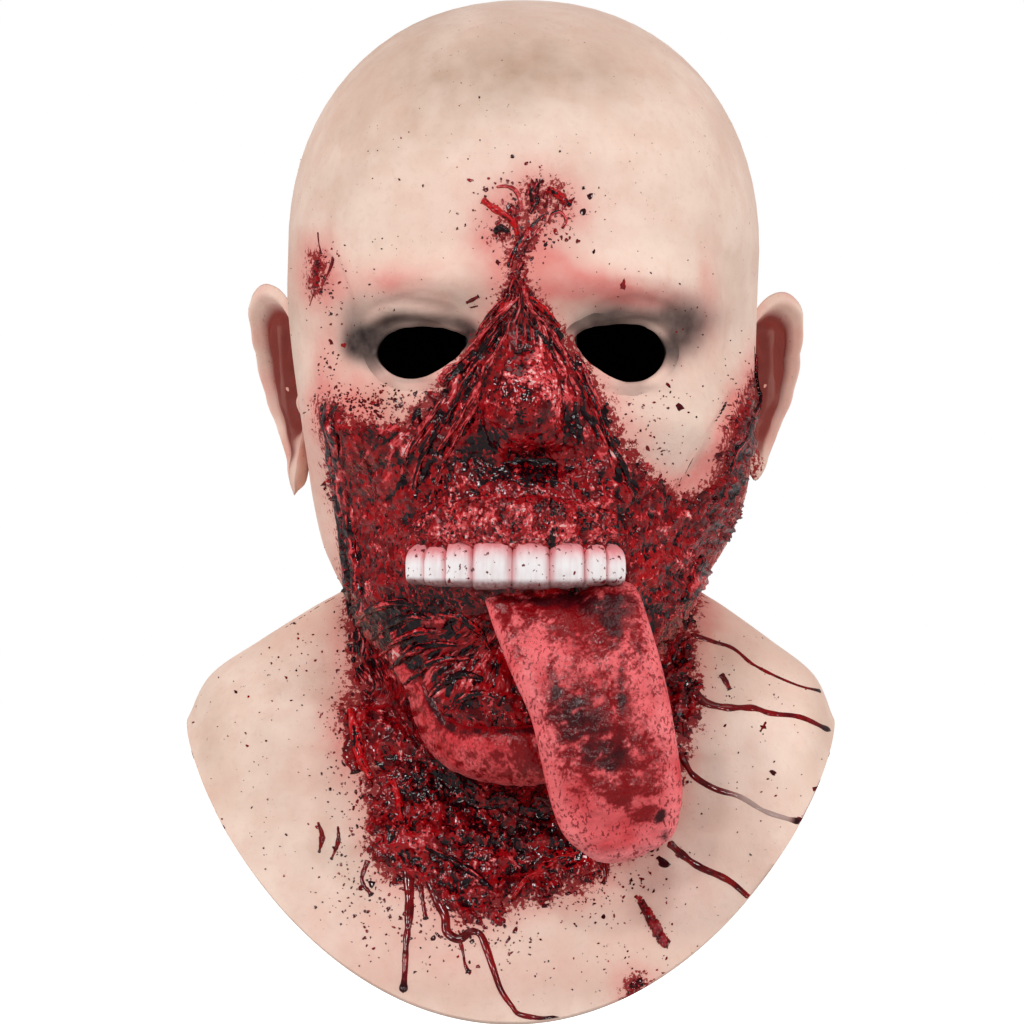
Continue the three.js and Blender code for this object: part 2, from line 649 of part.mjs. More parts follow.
function addPiece(name, piece, material) {
  const made = largest(largest(piece).asOriginal().simplify(MERGE_FACETS));
  const { numProp, vertProperties, triVerts } = made.getMesh();
  const geometry = new THREE.BufferGeometry();
  geometry.setAttribute("position", new THREE.BufferAttribute(vertProperties, numProp));
  geometry.setIndex(new THREE.BufferAttribute(triVerts, 1));
  geometry.computeVertexNormals();
  const mesh = new THREE.Mesh(geometry, material);
  mesh.name = name;
  mask.add(mesh);
}

const eyeHoles = EYES.map(eyeHole);
const block = skinBlock(SEAT_GAP);
const toothNumbers = steps(TEETH.length);
const teethRoom = toothNumbers.map((i) => tooth(i, SEAT_GAP));
const gumRoom = gum(SEAT_GAP);
const lipRoom = lip(4 * SEAT_GAP);
const tongueRoom = tongue(SEAT_GAP);

addPiece("head_shell", without(skinWall(), ...eyeHoles), MATERIALS.skin);
for (const row of EARS) addPiece(row.name, without(ear(row), block), MATERIALS.skin);
addPiece("upper_gum", without(gum(0), block, ...teethRoom), MATERIALS.gum);
for (const i of toothNumbers) addPiece(`tooth_${i + 1}`, without(tooth(i, 0), block, tongueRoom), MATERIALS.tooth);
addPiece("lower_lip", without(lip(0), block, tongueRoom), MATERIALS.tongue);
addPiece("tongue", without(tongue(0), block), MATERIALS.tongue);

const seated = [block, gumRoom, lipRoom, tongueRoom, ...teethRoom, ...eyeHoles];
addPiece("face_wound", without(wound(FACE_WOUND, 20), ...seated), MATERIALS.flesh);
addPiece("neck_wound", without(wound(NECK_WOUND, 12), ...seated), MATERIALS.flesh);

export default mask;
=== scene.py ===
import math

import bpy
import numpy as np
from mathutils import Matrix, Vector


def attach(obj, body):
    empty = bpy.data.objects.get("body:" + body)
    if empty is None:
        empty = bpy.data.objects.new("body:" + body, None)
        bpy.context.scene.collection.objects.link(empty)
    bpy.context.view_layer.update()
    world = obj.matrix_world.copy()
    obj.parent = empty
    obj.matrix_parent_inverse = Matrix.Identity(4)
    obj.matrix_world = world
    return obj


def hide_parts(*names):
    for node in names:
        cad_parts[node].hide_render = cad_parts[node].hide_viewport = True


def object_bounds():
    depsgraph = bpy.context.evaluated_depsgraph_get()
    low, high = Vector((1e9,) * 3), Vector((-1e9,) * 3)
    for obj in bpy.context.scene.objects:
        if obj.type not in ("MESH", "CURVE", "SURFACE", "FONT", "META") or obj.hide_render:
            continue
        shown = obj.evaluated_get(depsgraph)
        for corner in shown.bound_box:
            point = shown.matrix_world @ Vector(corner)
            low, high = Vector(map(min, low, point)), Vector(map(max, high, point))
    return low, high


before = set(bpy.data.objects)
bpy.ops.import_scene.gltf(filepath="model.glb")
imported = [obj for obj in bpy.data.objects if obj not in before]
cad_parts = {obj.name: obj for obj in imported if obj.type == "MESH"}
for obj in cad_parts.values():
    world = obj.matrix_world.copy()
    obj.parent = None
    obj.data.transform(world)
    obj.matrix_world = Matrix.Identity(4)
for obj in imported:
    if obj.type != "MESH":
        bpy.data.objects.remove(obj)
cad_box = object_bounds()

# Lengths are in millimetres until a mesh is made. Places on the mask are given where they are seen from the front,
# as u to the right and v down in a view of 1024 by 1024, and SEEN_* say how that view looks at the mask.
METRE = 0.001
SEEN_SIZE = 512
SEEN_STEP = 0.385
SEEN_FROM = 2200.0
SEEN_X = -3.5
SEEN_Z = -194.2
# How wide a step of the view is on the face, which is nearer than the middle of the head
FACE_STEP = 0.367
SENSOR_WIDTH = 36

# The mask's named sizes, which are those of its solids
WALL = 2.2
HEAD_WIDTH, FACE_REACH, BACK_REACH = 181, 105, 121
DOME_HEIGHT, DOME_POWER = 96, 2.15
JAW_DROP, THROAT_DROP, NAPE_DROP = 130, 208, 150
NECK_WIDTH, THROAT_REACH, NAPE_REACH = 136, 63, 68
BIB_WIDTH, BIB_LEAN = 249, -4
BIB_SIDE_DROP, BIB_FRONT_DROP, BIB_BACK_DROP = 50, 80, 92
BIB_FRONT_REACH, BIB_BACK_REACH = 97, 90
EYE_SPACING, EYE_DROP, EYE_WIDTH = 73.4, 136.6, 34
TEETH_DROP, RELIEF = 88, 10
TOOTH_HEIGHT, TOOTH_DEPTH = 18, 11
ARCH_WIDTH, ARCH_SHIFT = 72, -1.9
GUM_HEIGHT, GUM_THICK, GUM_OVERLAP = 21, 6, 4
LIP_WIDTH, LIP_THICK, LIP_SPAN, LIP_DROP = 18, 9, 52, 51
TONGUE_WIDTH, TONGUE_THICK, TONGUE_DROP = 56, 16, 98
TONGUE_REACH, TONGUE_SWAY = 36, 30
TONGUE_ROOT = (10, -82)
EAR_DROP, EAR_HEIGHT, EAR_THICK, EAR_SINK = 109, 78, 4.5, 4.5
WIDEST_Z = WALL - DOME_HEIGHT
EYE_Z = WALL - EYE_DROP
TEETH_Z = EYE_Z - TEETH_DROP

# Columns: side, front, back, slim, fore, aft, lean, power
HEAD_RINGS = np.array([
    (0.0, 0.0, 0.0, 0.0, 0.0, 0.0, 1.0, 2.2),
    (0.14, 0.1, 0.13, 0.01, 0.0, 0.0, 0.5, 2.25),
    (0.29, 0.21, 0.27, 0.06, 0.04, 0.08, 1.0, 2.3),
    (0.44, 0.32, 0.4, 0.13, 0.06, 0.23, 2.0, 2.3),
    (0.585, 0.43, 0.515, 0.21, 0.08, 0.42, 3.0, 2.25),
    (0.73, 0.54, 0.615, 0.33, 0.1, 0.6, 3.0, 2.2),
    (0.86, 0.665, 0.715, 0.56, 0.14, 0.77, 1.5, 2.1),
    (0.935, 0.8, 0.81, 0.78, 0.17, 0.89, 0.5, 2.05),
    (0.975, 0.91, 0.9, 0.92, 0.4, 0.96, 0.0, 2.0),
    (1.0, 1.0, 1.0, 1.0, 1.0, 1.0, 0.0, 2.05),
])
# Columns: side, front, back, wide, fore, aft, power
BIB_RINGS = np.array([
    (0.14, 0.2, 0.23, 0.2, 0.1, 0.18, 2.15),
    (0.39, 0.45, 0.48, 0.53, 0.36, 0.54, 2.25),
    (0.66, 0.72, 0.74, 0.85, 0.68, 0.82, 2.3),
    (1.0, 1.0, 1.0, 1.0, 1.0, 1.0, 2.3),
])
# Columns: x, down, wide, tall, lift, and 1 for one that is on both sides
FEATURES = np.array([
    (1.04, -0.03, 0.62, 0.34, -1.35, 1),
    (0.86, -0.29, 0.72, 0.24, 0.55, 1),
    (0.0, -0.26, 0.3, 0.34, 0.25, 0),
    (2.15, -0.05, 0.4, 0.55, -0.4, 1),
    (1.62, 0.32, 0.52, 0.34, 0.7, 1),
    (0.0, 0.24, 0.36, 0.62, 1.5, 0),
    (0.12, 0.46, 0.4, 0.16, -0.9, 0),
    (0.0, 0.8, 1.0, 0.5, 0.9, 0),
    (1.62, 0.72, 0.5, 0.6, -0.75, 1),
    (-0.05, 1.26, 0.95, 0.36, -1.3, 0),
    (0.1, 1.68, 0.8, 0.28, 0.4, 0),
    (0.0, 2.12, 0.3, 0.3, -0.35, 0),
    (1.4, 2.06, 1.1, 0.14, 0.3, 1),
])
# Columns: turn in degrees from the outer corner towards the top, and reach as a share of half EYE_WIDTH
EYE_OUTLINE = np.array([
    (0, 1.0), (17, 0.9), (35, 0.74), (70, 0.55), (115, 0.56), (145, 0.77), (159, 0.94), (168, 1.0),
    (182, 0.86), (204, 0.68), (236, 0.6), (268, 0.63), (291, 0.71), (313, 0.81), (334, 0.91), (350, 0.98),
])
EYES = {-1: 0.96, 1: 1.06}
# Columns: turn in degrees from straight back towards the top, and reach as a share of the ear's half height
EAR_OUTLINE = np.array([
    (0, 0.44), (38, 0.62), (49, 0.78), (61, 0.96), (78, 1.02), (95, 0.93), (116, 0.73), (150, 0.48),
    (204, 0.48), (236, 0.74), (251, 0.98), (261, 1.01), (274, 0.76), (294, 0.54), (326, 0.44),
])
# Columns: side, down, tall, flare and spread in degrees
EARS = {"ear_left": (-1, 0.99, 1.05, 22, 14), "ear_right": (1, 1.02, 0.935, 39, 7)}
# Columns: wide, tall
TEETH = np.array([
    (0.092, 0.74), (0.1, 0.8), (0.12, 0.92), (0.176, 1.0),
    (0.168, 0.98), (0.155, 0.95), (0.098, 0.88), (0.091, 0.76),
])
# Columns: across, out, down, wide, thick
TONGUE_SECTIONS = np.array([
    (0.0, 0.0, 0.0, 0.95, 0.55),
    (0.17, 0.45, 0.05, 1.0, 0.7),
    (0.38, 0.8, 0.22, 0.97, 0.9),
    (0.6, 0.96, 0.415, 0.91, 1.0),
    (0.78, 1.0, 0.69, 0.88, 1.05),
    (0.86, 0.95, 0.82, 0.83, 1.05),
    (0.93, 0.9, 0.91, 0.7, 0.95),
    (0.97, 0.86, 0.97, 0.5, 0.75),
    (1.0, 0.84, 1.0, 0.2, 0.4),
])
# Columns: across, down, full
LIP_PATH = np.array([
    (-0.94, 0.27, 0.26), (-0.84, 0.45, 0.3), (-0.73, 0.58, 0.38), (-0.56, 0.85, 0.66), (-0.36, 0.97, 0.9),
    (-0.07, 1.0, 1.0), (0.13, 0.99, 1.0), (0.38, 0.94, 0.85), (0.59, 0.79, 0.55),
])


def mix(a, b, share):
    """From a to b by a share."""
    return a + (b - a) * share


def clip01(x):
    """x held between 0 and 1."""
    return np.clip(x, 0.0, 1.0)


def ease(x, low, high):
    """0 below low, 1 above high, and a smooth step between."""
    t = clip01((x - low) / (high - low))
    return t * t * (3 - 2 * t)


def bell(a, wide, b=0.0, tall=1.0):
    """A Gaussian in one direction or two: 1 in its middle and 1/e at its width."""
    return np.exp(-(a / wide) ** 2 - (b / tall) ** 2)


def bent(x, power):
    """A power of the size of x, with the sign of x."""
    return np.sign(x) * np.abs(x) ** power


def unit(vectors):
    """Vectors made 1 long."""
    return vectors / np.linalg.norm(vectors, axis=-1, keepdims=True)


def hermite(a, b, slope_a, slope_b, t):
    """A cubic from a to b with given slopes at its ends."""
    square, cube = t * t, t ** 3
    return (
        (2 * cube - 3 * square + 1) * a + (cube - 2 * square + t) * slope_a
        + (3 * square - 2 * cube) * b + (cube - square) * slope_b
    )


def along(rows, place):
    """Every column of rows at each place, on Hermite curves whose slopes are the rows' central differences."""
    place = np.asarray(place, float)
    slopes = np.gradient(rows, axis=0)
    first = np.clip(np.floor(place).astype(int), 0, len(rows) - 2)
    t = (place - first)[..., None]
    return np.moveaxis(hermite(rows[first], rows[first + 1], slopes[first], slopes[first + 1], t), -1, 0)


def outline_reach(rows, degrees):
    """The reach of a closed outline in each direction, on Hermite curves round its rows."""
    turns, reaches = rows[:, 0], rows[:, 1]
    count = len(rows)
    turn = np.mod(degrees, 360)
    index = np.searchsorted(turns, turn, side="right") - 1
    gap = np.mod(turns[(index + 1) % count] - turns[index], 360)
    t = np.mod(turn - turns[index], 360) / gap
    a, b, c, d = (reaches[(index + step) % count] for step in (-1, 0, 1, 2))
    return hermite(b, c, (c - a) / 2, (d - b) / 2, t)


def ring_table():
    """The rings in millimetres. Columns: side, front, back, wide, fore, aft, power, lean, dip."""
    h, b = HEAD_RINGS.T, BIB_RINGS.T
    neck = WIDEST_Z - JAW_DROP
    head = np.stack([
        WIDEST_Z - JAW_DROP * h[0], WIDEST_Z - THROAT_DROP * h[1], WIDEST_Z - NAPE_DROP * h[2],
        mix(HEAD_WIDTH, NECK_WIDTH, h[3]) / 2, mix(FACE_REACH, THROAT_REACH, h[4]),
        mix(BACK_REACH, NAPE_REACH, h[5]), h[7], h[6], np.full(len(HEAD_RINGS), 2.0),
    ], 1)
    bib = np.stack([
        neck - BIB_SIDE_DROP * b[0], WIDEST_Z - THROAT_DROP - BIB_FRONT_DROP * b[1],
        WIDEST_Z - NAPE_DROP - BIB_BACK_DROP * b[2], mix(NECK_WIDTH, BIB_WIDTH, b[3]) / 2,
        mix(THROAT_REACH, BIB_FRONT_REACH, b[4]), mix(NAPE_REACH, BIB_BACK_REACH, b[5]),
        b[6], BIB_LEAN * b[3], mix(2.0, 1.5, b[0]),
    ], 1)
    return np.vstack([head, bib])


RINGS = ring_table()
HEM = len(RINGS)


def ring_sizes(place):
    """The ring columns at each place: 0 is the crown, 1 the widest ring, HEM the hem, and a superellipse the dome."""
    place = np.asarray(place, float)
    rings = along(RINGS, np.maximum(place - 1, 0))
    turn = np.clip(place, 0, 1) * math.pi / 2
    dome = place < 1
    size = np.where(dome, np.sin(turn) ** (2 / DOME_POWER), 1)
    height = np.where(dome, DOME_HEIGHT * np.abs(np.cos(turn)) ** (2 / DOME_POWER), 0)
    rings[0:3] += height
    rings[3:6] *= size
    return rings


def plain_skin(angle, place):
    """A ring's superellipse at an angle from the front, with its front and back hung lower than its sides."""
    side, front, back, wide, fore, aft, power, lean, dip = ring_sizes(place)
    sine, cosine = np.sin(angle), np.cos(angle)
    across = bent(sine, 2 / power)
    reach = np.abs(cosine) ** (2 / power)
    fall = np.maximum(1 - across * across, 0) ** (dip / 2)
    ahead = cosine > 0
    x = lean + wide * across
    y = np.where(ahead, -fore * reach, aft * reach)
    z = side + (np.where(ahead, front, back) - side) * fall
    return np.stack([x, y, z], -1)


def outward(surface, angle, place):
    """The outward direction of a surface, across from its steps round and down."""
    step = 0.01
    low = np.maximum(place - step, step)
    high = np.minimum(place + step, HEM)
    turned = surface(angle + step, place) - surface(angle - step, place)
    down = surface(angle, high) - surface(angle, low)
    normal = np.cross(down, turned)
    return normal / np.maximum(np.linalg.norm(normal, axis=-1, keepdims=True), 1e-9)


def seen(points):
    """Where points are seen from the front: u and v in the view of 1024."""
    scale = SEEN_FROM / (SEEN_FROM + points[..., 1]) / SEEN_STEP
    return SEEN_SIZE + (points[..., 0] - SEEN_X) * scale, SEEN_SIZE - (points[..., 2] - SEEN_Z) * scale


def relief(points):
    """The lumps and dents of the face, each a Gaussian of the front view, faded out before the ears."""
    half = EYE_SPACING / 2
    lift = 0
    for x, down, wide, tall, high, twin in FEATURES:
        for side in (-1, 1) if twin else (1,):
            a = (points[..., 0] - side * x * half) / (wide * half)
            b = (points[..., 2] - (EYE_Z - down * TEETH_DROP)) / (tall * half)
            lift = lift + high * RELIEF * np.exp(-a * a - b * b)
    return lift * ease(-points[..., 1], 5, 45)


def relief_skin(angle, place):
    """The plain skin with the face's relief along its outward direction, but for the top of the dome."""
    point = plain_skin(angle, place)
    lift = np.where(place < 0.5, 0, relief(point))
    return point + outward(plain_skin, angle, place) * lift[..., None]


def to_line(u, v, line):
    """Distance to a line through points, and the share of the line where it is nearest, for each u and v."""
    line = np.asarray(line, float)
    best = np.full(np.shape(u), 1e9)
    share = np.zeros(np.shape(u))
    lengths = np.hypot(*(line[1:] - line[:-1]).T)
    ends = np.concatenate([[0], np.cumsum(lengths)])
    for i, (a, b) in enumerate(zip(line[:-1], line[1:])):
        step = b - a
        t = clip01(((u - a[0]) * step[0] + (v - a[1]) * step[1]) / max(step @ step, 1e-9))
        far = np.hypot(u - a[0] - t * step[0], v - a[1] - t * step[1])
        near = far < best
        best = np.where(near, far, best)
        share = np.where(near, (ends[i] + t * lengths[i]) / ends[-1], share)
    return best, share


def inside(u, v, outline):
    """Distance inside a closed outline, negative outside it, from even and odd crossings."""
    outline = np.asarray(outline, float)
    crossed = np.zeros(np.shape(u), bool)
    for (x0, y0), (x1, y1) in zip(outline, np.roll(outline, -1, 0)):
        if y0 == y1:
            continue
        spans = (y0 > v) != (y1 > v)
        crossed ^= spans & (u < (x1 - x0) * (v - y0) / (y1 - y0) + x0)
    far, _ = to_line(u, v, np.vstack([outline, outline[:1]]))
    return np.where(crossed, far, -far)


def blob(u, v, at, size, turn=0.0):
    """A Gaussian spot with its own width and height, turned by degrees."""
    c, s = math.cos(math.radians(turn)), math.sin(math.radians(turn))
    a = ((u - at[0]) * c + (v - at[1]) * s) / size[0]
    b = (-(u - at[0]) * s + (v - at[1]) * c) / size[1]
    return np.exp(-a * a - b * b)


def spots(u, v, rows):
    """The sum of soft spots of a table of marks."""
    return sum(strength * blob(u, v, (x, y), (wide, tall), turn) for x, y, wide, tall, turn, strength in rows)


def ridge(u, v, line, width, fade=0.12):
    """A rounded ridge along a line, fading at its ends."""
    far, share = to_line(u, v, line)
    return bell(far, width) * ease(share, 0, fade) * ease(1 - share, 0, fade)


TABLE = np.random.default_rng(7).random((16, 256, 256))


def noise(a, b, layer=0):
    """Smooth value noise from -1 to 1: random numbers on a lattice with quintic steps between them."""
    table = TABLE[layer % 16]
    ia, ib = np.floor(a).astype(int), np.floor(b).astype(int)
    fa, fb = a - ia, b - ib
    fa = fa ** 3 * (fa * (fa * 6 - 15) + 10)
    fb = fb ** 3 * (fb * (fb * 6 - 15) + 10)
    ia, ib = ia % 256, ib % 256
    ja, jb = (ia + 1) % 256, (ib + 1) % 256
    low = mix(table[ia, ib], table[ja, ib], fa)
    high = mix(table[ia, jb], table[ja, jb], fa)
    return mix(low, high, fb) * 2 - 1


def clumps(a, b, layer=0, octaves=3, gain=0.55):
    """Noise added to itself at half the size and less height, a few times."""
    total, high, size = 0, 1.0, 1.0
    for octave in range(octaves):
        total = total + high * noise(a * size, b * size, layer + octave)
        high *= gain
        size *= 2.03
    return total


def creases(a, b, layer=0, octaves=3):
    """Ridged noise: 1 on sharp crests, falling to 0 between them."""
    total, high, size, whole = 0, 1.0, 1.0, 0
    for octave in range(octaves):
        total = total + high * (1 - np.abs(noise(a * size, b * size, layer + octave))) ** 2
        whole += high
        high *= 0.5
        size *= 2.1
    return total / whole


# Fine relief of the skin, in view places. Columns: line, width, height in mm
FOLDS = [
    ([(366, 330), (374, 319), (392, 312), (414, 311), (440, 318), (462, 328), (472, 338)], 5.5, 1.5),
    ([(360, 322), (378, 306), (404, 300), (436, 306), (462, 318)], 4.0, -0.7),
    ([(590, 326), (606, 316), (632, 311), (656, 315), (672, 328), (680, 344)], 5.5, 1.3),
    ([(584, 318), (604, 305), (634, 299), (664, 305), (686, 324)], 4.0, -0.7),
    ([(374, 352), (384, 366), (400, 377), (414, 381), (436, 374), (458, 362)], 5.0, 0.7),
    ([(372, 364), (388, 380), (412, 388), (438, 382)], 4.5, -0.35),
    ([(592, 362), (606, 378), (624, 387), (646, 384), (664, 373), (672, 360)], 5.0, 0.8),
    ([(590, 374), (608, 389), (632, 396), (660, 388), (676, 372)], 4.5, -0.35),
    ([(392, 300), (420, 292), (452, 298), (470, 312)], 2.4, -0.35),
    ([(402, 308), (424, 300), (448, 305), (462, 314)], 1.8, -0.3),
    ([(384, 292), (416, 283), (446, 288)], 2.4, -0.22),
    ([(584, 300), (604, 286), (630, 280), (660, 284)], 2.6, -0.3),
    ([(580, 309), (598, 296), (622, 290)], 2.0, -0.25),
    ([(352, 372), (384, 394), (430, 398)], 3.0, -0.25),
    ([(600, 396), (640, 404), (684, 392)], 3.0, -0.3),
    ([(618, 404), (652, 414), (692, 404)], 3.0, -0.2),
    ([(738, 388), (726, 412), (706, 446), (684, 484), (668, 506)], 4.0, -2.2),
    ([(752, 392), (742, 418), (722, 452), (704, 486), (694, 500)], 7.0, 1.0),
    ([(300, 330), (306, 390), (312, 450), (318, 500)], 6.0, 0.5),
    ([(640, 180), (660, 200), (668, 226)], 3.0, 0.25),
    ([(322, 252), (330, 252), (335, 258), (333, 270), (327, 281), (321, 293)], 2.6, 1.5),
    ([(309, 256), (308, 272), (310, 292)], 2.6, 0.8),
    ([(248, 700), (330, 712), (420, 742)], 14.0, 2.0),
    ([(770, 712), (690, 720), (610, 742)], 14.0, 2.0),
    ([(256, 728), (332, 742), (420, 768)], 12.0, -1.2),
    ([(764, 740), (690, 752), (620, 772)], 12.0, -1.2),
]
TEMPLE_STEPS = [
    ([(326, 232), (336, 252), (345, 280), (353, 303), (354, 322), (350, 345), (341, 368)], -1, 1.7),
    ([(706, 234), (716, 262), (722, 290), (726, 318), (725, 345), (719, 372)], 1, 1.6),
]


def fine_relief(u, v):
    """The folds, and at each temple a step that drops away on its outer side, as eased distance across the line."""
    lift = 0
    for line, width, height in FOLDS:
        lift = lift + height * ridge(u, v, line, width)
    for line, side, height in TEMPLE_STEPS:
        line = np.asarray(line, float)
        at = np.interp(v, line[:, 1], line[:, 0])
        fade = ease(v, line[0, 1], line[0, 1] + 30) * ease(-v, -line[-1, 1], -line[-1, 1] + 30)
        past = (u - at) * side
        lift = lift - height * fade * ease(past, -2, 4) * ease(-past, -60, -4)
    lift = lift + 0.3 * noise(u / 34, v / 40, 3) + 0.16 * noise(u / 15, v / 17, 4)
    return lift


def skin(angle, place, height=0.0, fine=True):
    """A point at a height over the outer skin."""
    angle, place = np.broadcast_arrays(np.asarray(angle, float), np.asarray(place, float))
    point = relief_skin(angle, place)
    normal = outward(relief_skin, angle, place)
    if fine:
        u, v = seen(point)
        height = height + fine_relief(u, v) * ease(-point[..., 1], 5, 40)
    return point + normal * np.asarray(height)[..., None], normal


def behind(x, z):
    """The angle and place of the plain skin behind front-view millimetres, by halving the place between its ends."""
    low, high = np.full(np.shape(x), 0.3), np.full(np.shape(x), float(HEM))
    for _ in range(22):
        place = (low + high) / 2
        rings = ring_sizes(place)
        across = np.clip((x - rings[7]) / rings[3], -0.995, 0.995)
        angle = np.arcsin(bent(across, rings[6] / 2))
        above = plain_skin(angle, place)[..., 2] > z
        low, high = np.where(above, place, low), np.where(above, high, place)
    return angle, place


def under(u, v):
    """The angle and place of the skin seen at u and v, by correcting the front-view millimetres a few times."""
    u, v = np.asarray(u, float), np.asarray(v, float)
    y = np.full(u.shape, -85.0)
    shift_x, shift_z = np.zeros(u.shape), np.zeros(u.shape)
    for _ in range(5):
        scale = SEEN_STEP * (SEEN_FROM + y) / SEEN_FROM
        x = SEEN_X + (u - SEEN_SIZE) * scale
        z = SEEN_Z + (SEEN_SIZE - v) * scale
        angle, place = behind(x + shift_x, z + shift_z)
        point = relief_skin(angle, place)
        y = point[..., 1]
        shift_x = shift_x + 0.8 * (x - point[..., 0])
        shift_z = shift_z + 0.8 * (z - point[..., 2])
    return angle, place


def curve(points, count):
    """A smooth line through points, at count even steps."""
    points = np.asarray(points, float)
    fine = along(points, np.linspace(0, len(points) - 1, 40 * len(points))).T
    run = np.concatenate([[0], np.cumsum(np.linalg.norm(np.diff(fine, axis=0), axis=1))])
    at = np.linspace(0, run[-1], count)
    return np.stack([np.interp(at, run, fine[:, i]) for i in range(fine.shape[1])], 1)


def of_corners(pick, values):
    """What pick gives of the four corners of every cell of a grid."""
    return pick(pick(values[:-1, :-1], values[1:, 1:]), pick(values[:-1, 1:], values[1:, :-1]))


class Shape:
    """Corners in millimetres, faces as lists of corners, and one number a corner for each named mask."""

    def __init__(self):
        self.points, self.faces, self.masks, self.count = [], [], {}, 0

    def add(self, points, faces, **masks):
        """Adds corners and faces. A mask that isn't given is 0 there."""
        points = np.asarray(points, float).reshape(-1, 3)
        self.points.append(points)
        self.faces.append(np.asarray(faces, int) + self.count)
        for name in set(self.masks) | set(masks):
            values = masks.get(name, 0.0)
            filled = np.broadcast_to(np.asarray(values, float).ravel(), (len(points),)).copy()
            self.masks.setdefault(name, [np.zeros(self.count)] if self.count else []).append(filled)
        self.count += len(points)
        return self

    def grid(self, points, keep=None, wrap=False, flip=False, **masks):
        """Quads between the rows and columns of a grid, without the cells that keep leaves out."""
        rows, columns = points.shape[:2]
        index = np.arange(rows * columns).reshape(rows, columns)
        if wrap:
            index = np.hstack([index, index[:, :1]])
        cells = np.stack([index[:-1, :-1], index[1:, :-1], index[1:, 1:], index[:-1, 1:]], -1)
        if flip:
            cells = cells[..., ::-1]
        cells = cells.reshape(-1, 4) if keep is None else cells[keep]
        return self.add(points, cells, **masks)

    def cap(self, ring, middle=None, flip=False, **masks):
        """A fan that closes a ring of points round its middle."""
        count = len(ring)
        at = np.arange(count)
        fan = np.stack([np.full(count, count), at, (at + 1) % count], 1)
        middle = ring.mean(0) if middle is None else middle
        return self.add(np.vstack([ring, [middle]]), fan[:, ::-1] if flip else fan, **masks)

    def object(self, name, material):
        """A smooth mesh object of the shape, with its masks as attributes."""
        points = np.vstack(self.points) * METRE
        loops = np.concatenate([faces.ravel() for faces in self.faces])
        sizes = np.concatenate([np.full(len(faces), faces.shape[1]) for faces in self.faces])
        used = np.zeros(len(points), bool)
        used[loops] = True
        number = np.cumsum(used) - 1
        mesh = bpy.data.meshes.new(name)
        mesh.vertices.add(int(used.sum()))
        mesh.vertices.foreach_set("co", points[used].ravel())
        mesh.loops.add(len(loops))
        mesh.loops.foreach_set("vertex_index", number[loops].astype(np.int32))
        mesh.polygons.add(len(sizes))
        mesh.polygons.foreach_set("loop_start", (np.cumsum(sizes) - sizes).astype(np.int32))
        mesh.polygons.foreach_set("use_smooth", np.ones(len(sizes), bool))
        for mask, values in self.masks.items():
            layer = mesh.attributes.new(mask, "FLOAT", "POINT")
            layer.data.foreach_set("value", np.concatenate(values)[used].astype(np.float32))
        mesh.update(calc_edges=True)
        mesh.validate()
        mesh.materials.append(material)
        made = bpy.data.objects.new(name, mesh)
        bpy.context.collection.objects.link(made)
        return made

    def piece(self, name, material, slot, *nodes):
        """An object of the shape which rides on the mask, in the place of its nodes."""
        made = self.object(name, material)
        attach(made, "root")
        if nodes:
            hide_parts(*nodes)
        return made


def eye_outline(side, degrees, grow=0.0):
    """The eye hole's edge in front-view millimetres, grown outwards."""
    far = outline_reach(EYE_OUTLINE, degrees) * EYE_WIDTH / 2 + grow
    turn = np.radians(degrees)
    tall = EYES[side]
    return side * (EYE_SPACING / 2 + far * np.cos(turn)), EYE_Z + far * tall * np.sin(turn)


def eye_gap(points, side):
    """How far points lie outside an eye hole, in front-view millimetres, negative inside it."""
    x = side * points[..., 0] - EYE_SPACING / 2
    z = (points[..., 2] - EYE_Z) / EYES[side]
    gap = np.hypot(x, z) - outline_reach(EYE_OUTLINE, np.degrees(np.arctan2(z, x))) * EYE_WIDTH / 2
    return np.where(points[..., 1] < 0, gap, 99.0)


# Painted marks of the skin. Columns: u, v, wide, tall, turn in degrees, strength
# The first table is painted shade in the eye sockets, darkest at their outer corners and over the holes.
SOCKET_SHADE = [
    (370, 345, 17, 15, 0, 1.0), (382, 328, 24, 9, -26, 0.6), (418, 319, 36, 7, 2, 0.42), (462, 328, 16, 9, 30, 0.5),
    (474, 344, 9, 14, 0, 0.6), (378, 366, 12, 8, 35, 0.4), (684, 334, 22, 26, 20, 0.34),
    (690, 312, 36, 20, 15, 0.22), (640, 318, 44, 9, 0, 0.42), (602, 322, 24, 9, -28, 0.55),
    (580, 334, 9, 12, 0, 0.6), (672, 350, 8, 18, 0, 0.5), (412, 380, 30, 5, 0, 0.25), (634, 388, 30, 5, 0, 0.25),
    (354, 326, 14, 26, 0, 0.32), (374, 304, 30, 14, -15, 0.14), (652, 304, 40, 14, 6, 0.14),
    (600, 310, 20, 12, -20, 0.2), (357, 344, 15, 15, 0, 0.45), (470, 338, 12, 14, 0, 0.3),
    (440, 321, 28, 6, 6, 0.25), (688, 330, 18, 22, 0, 0.3), (372, 344, 12, 12, 0, 0.3),
]
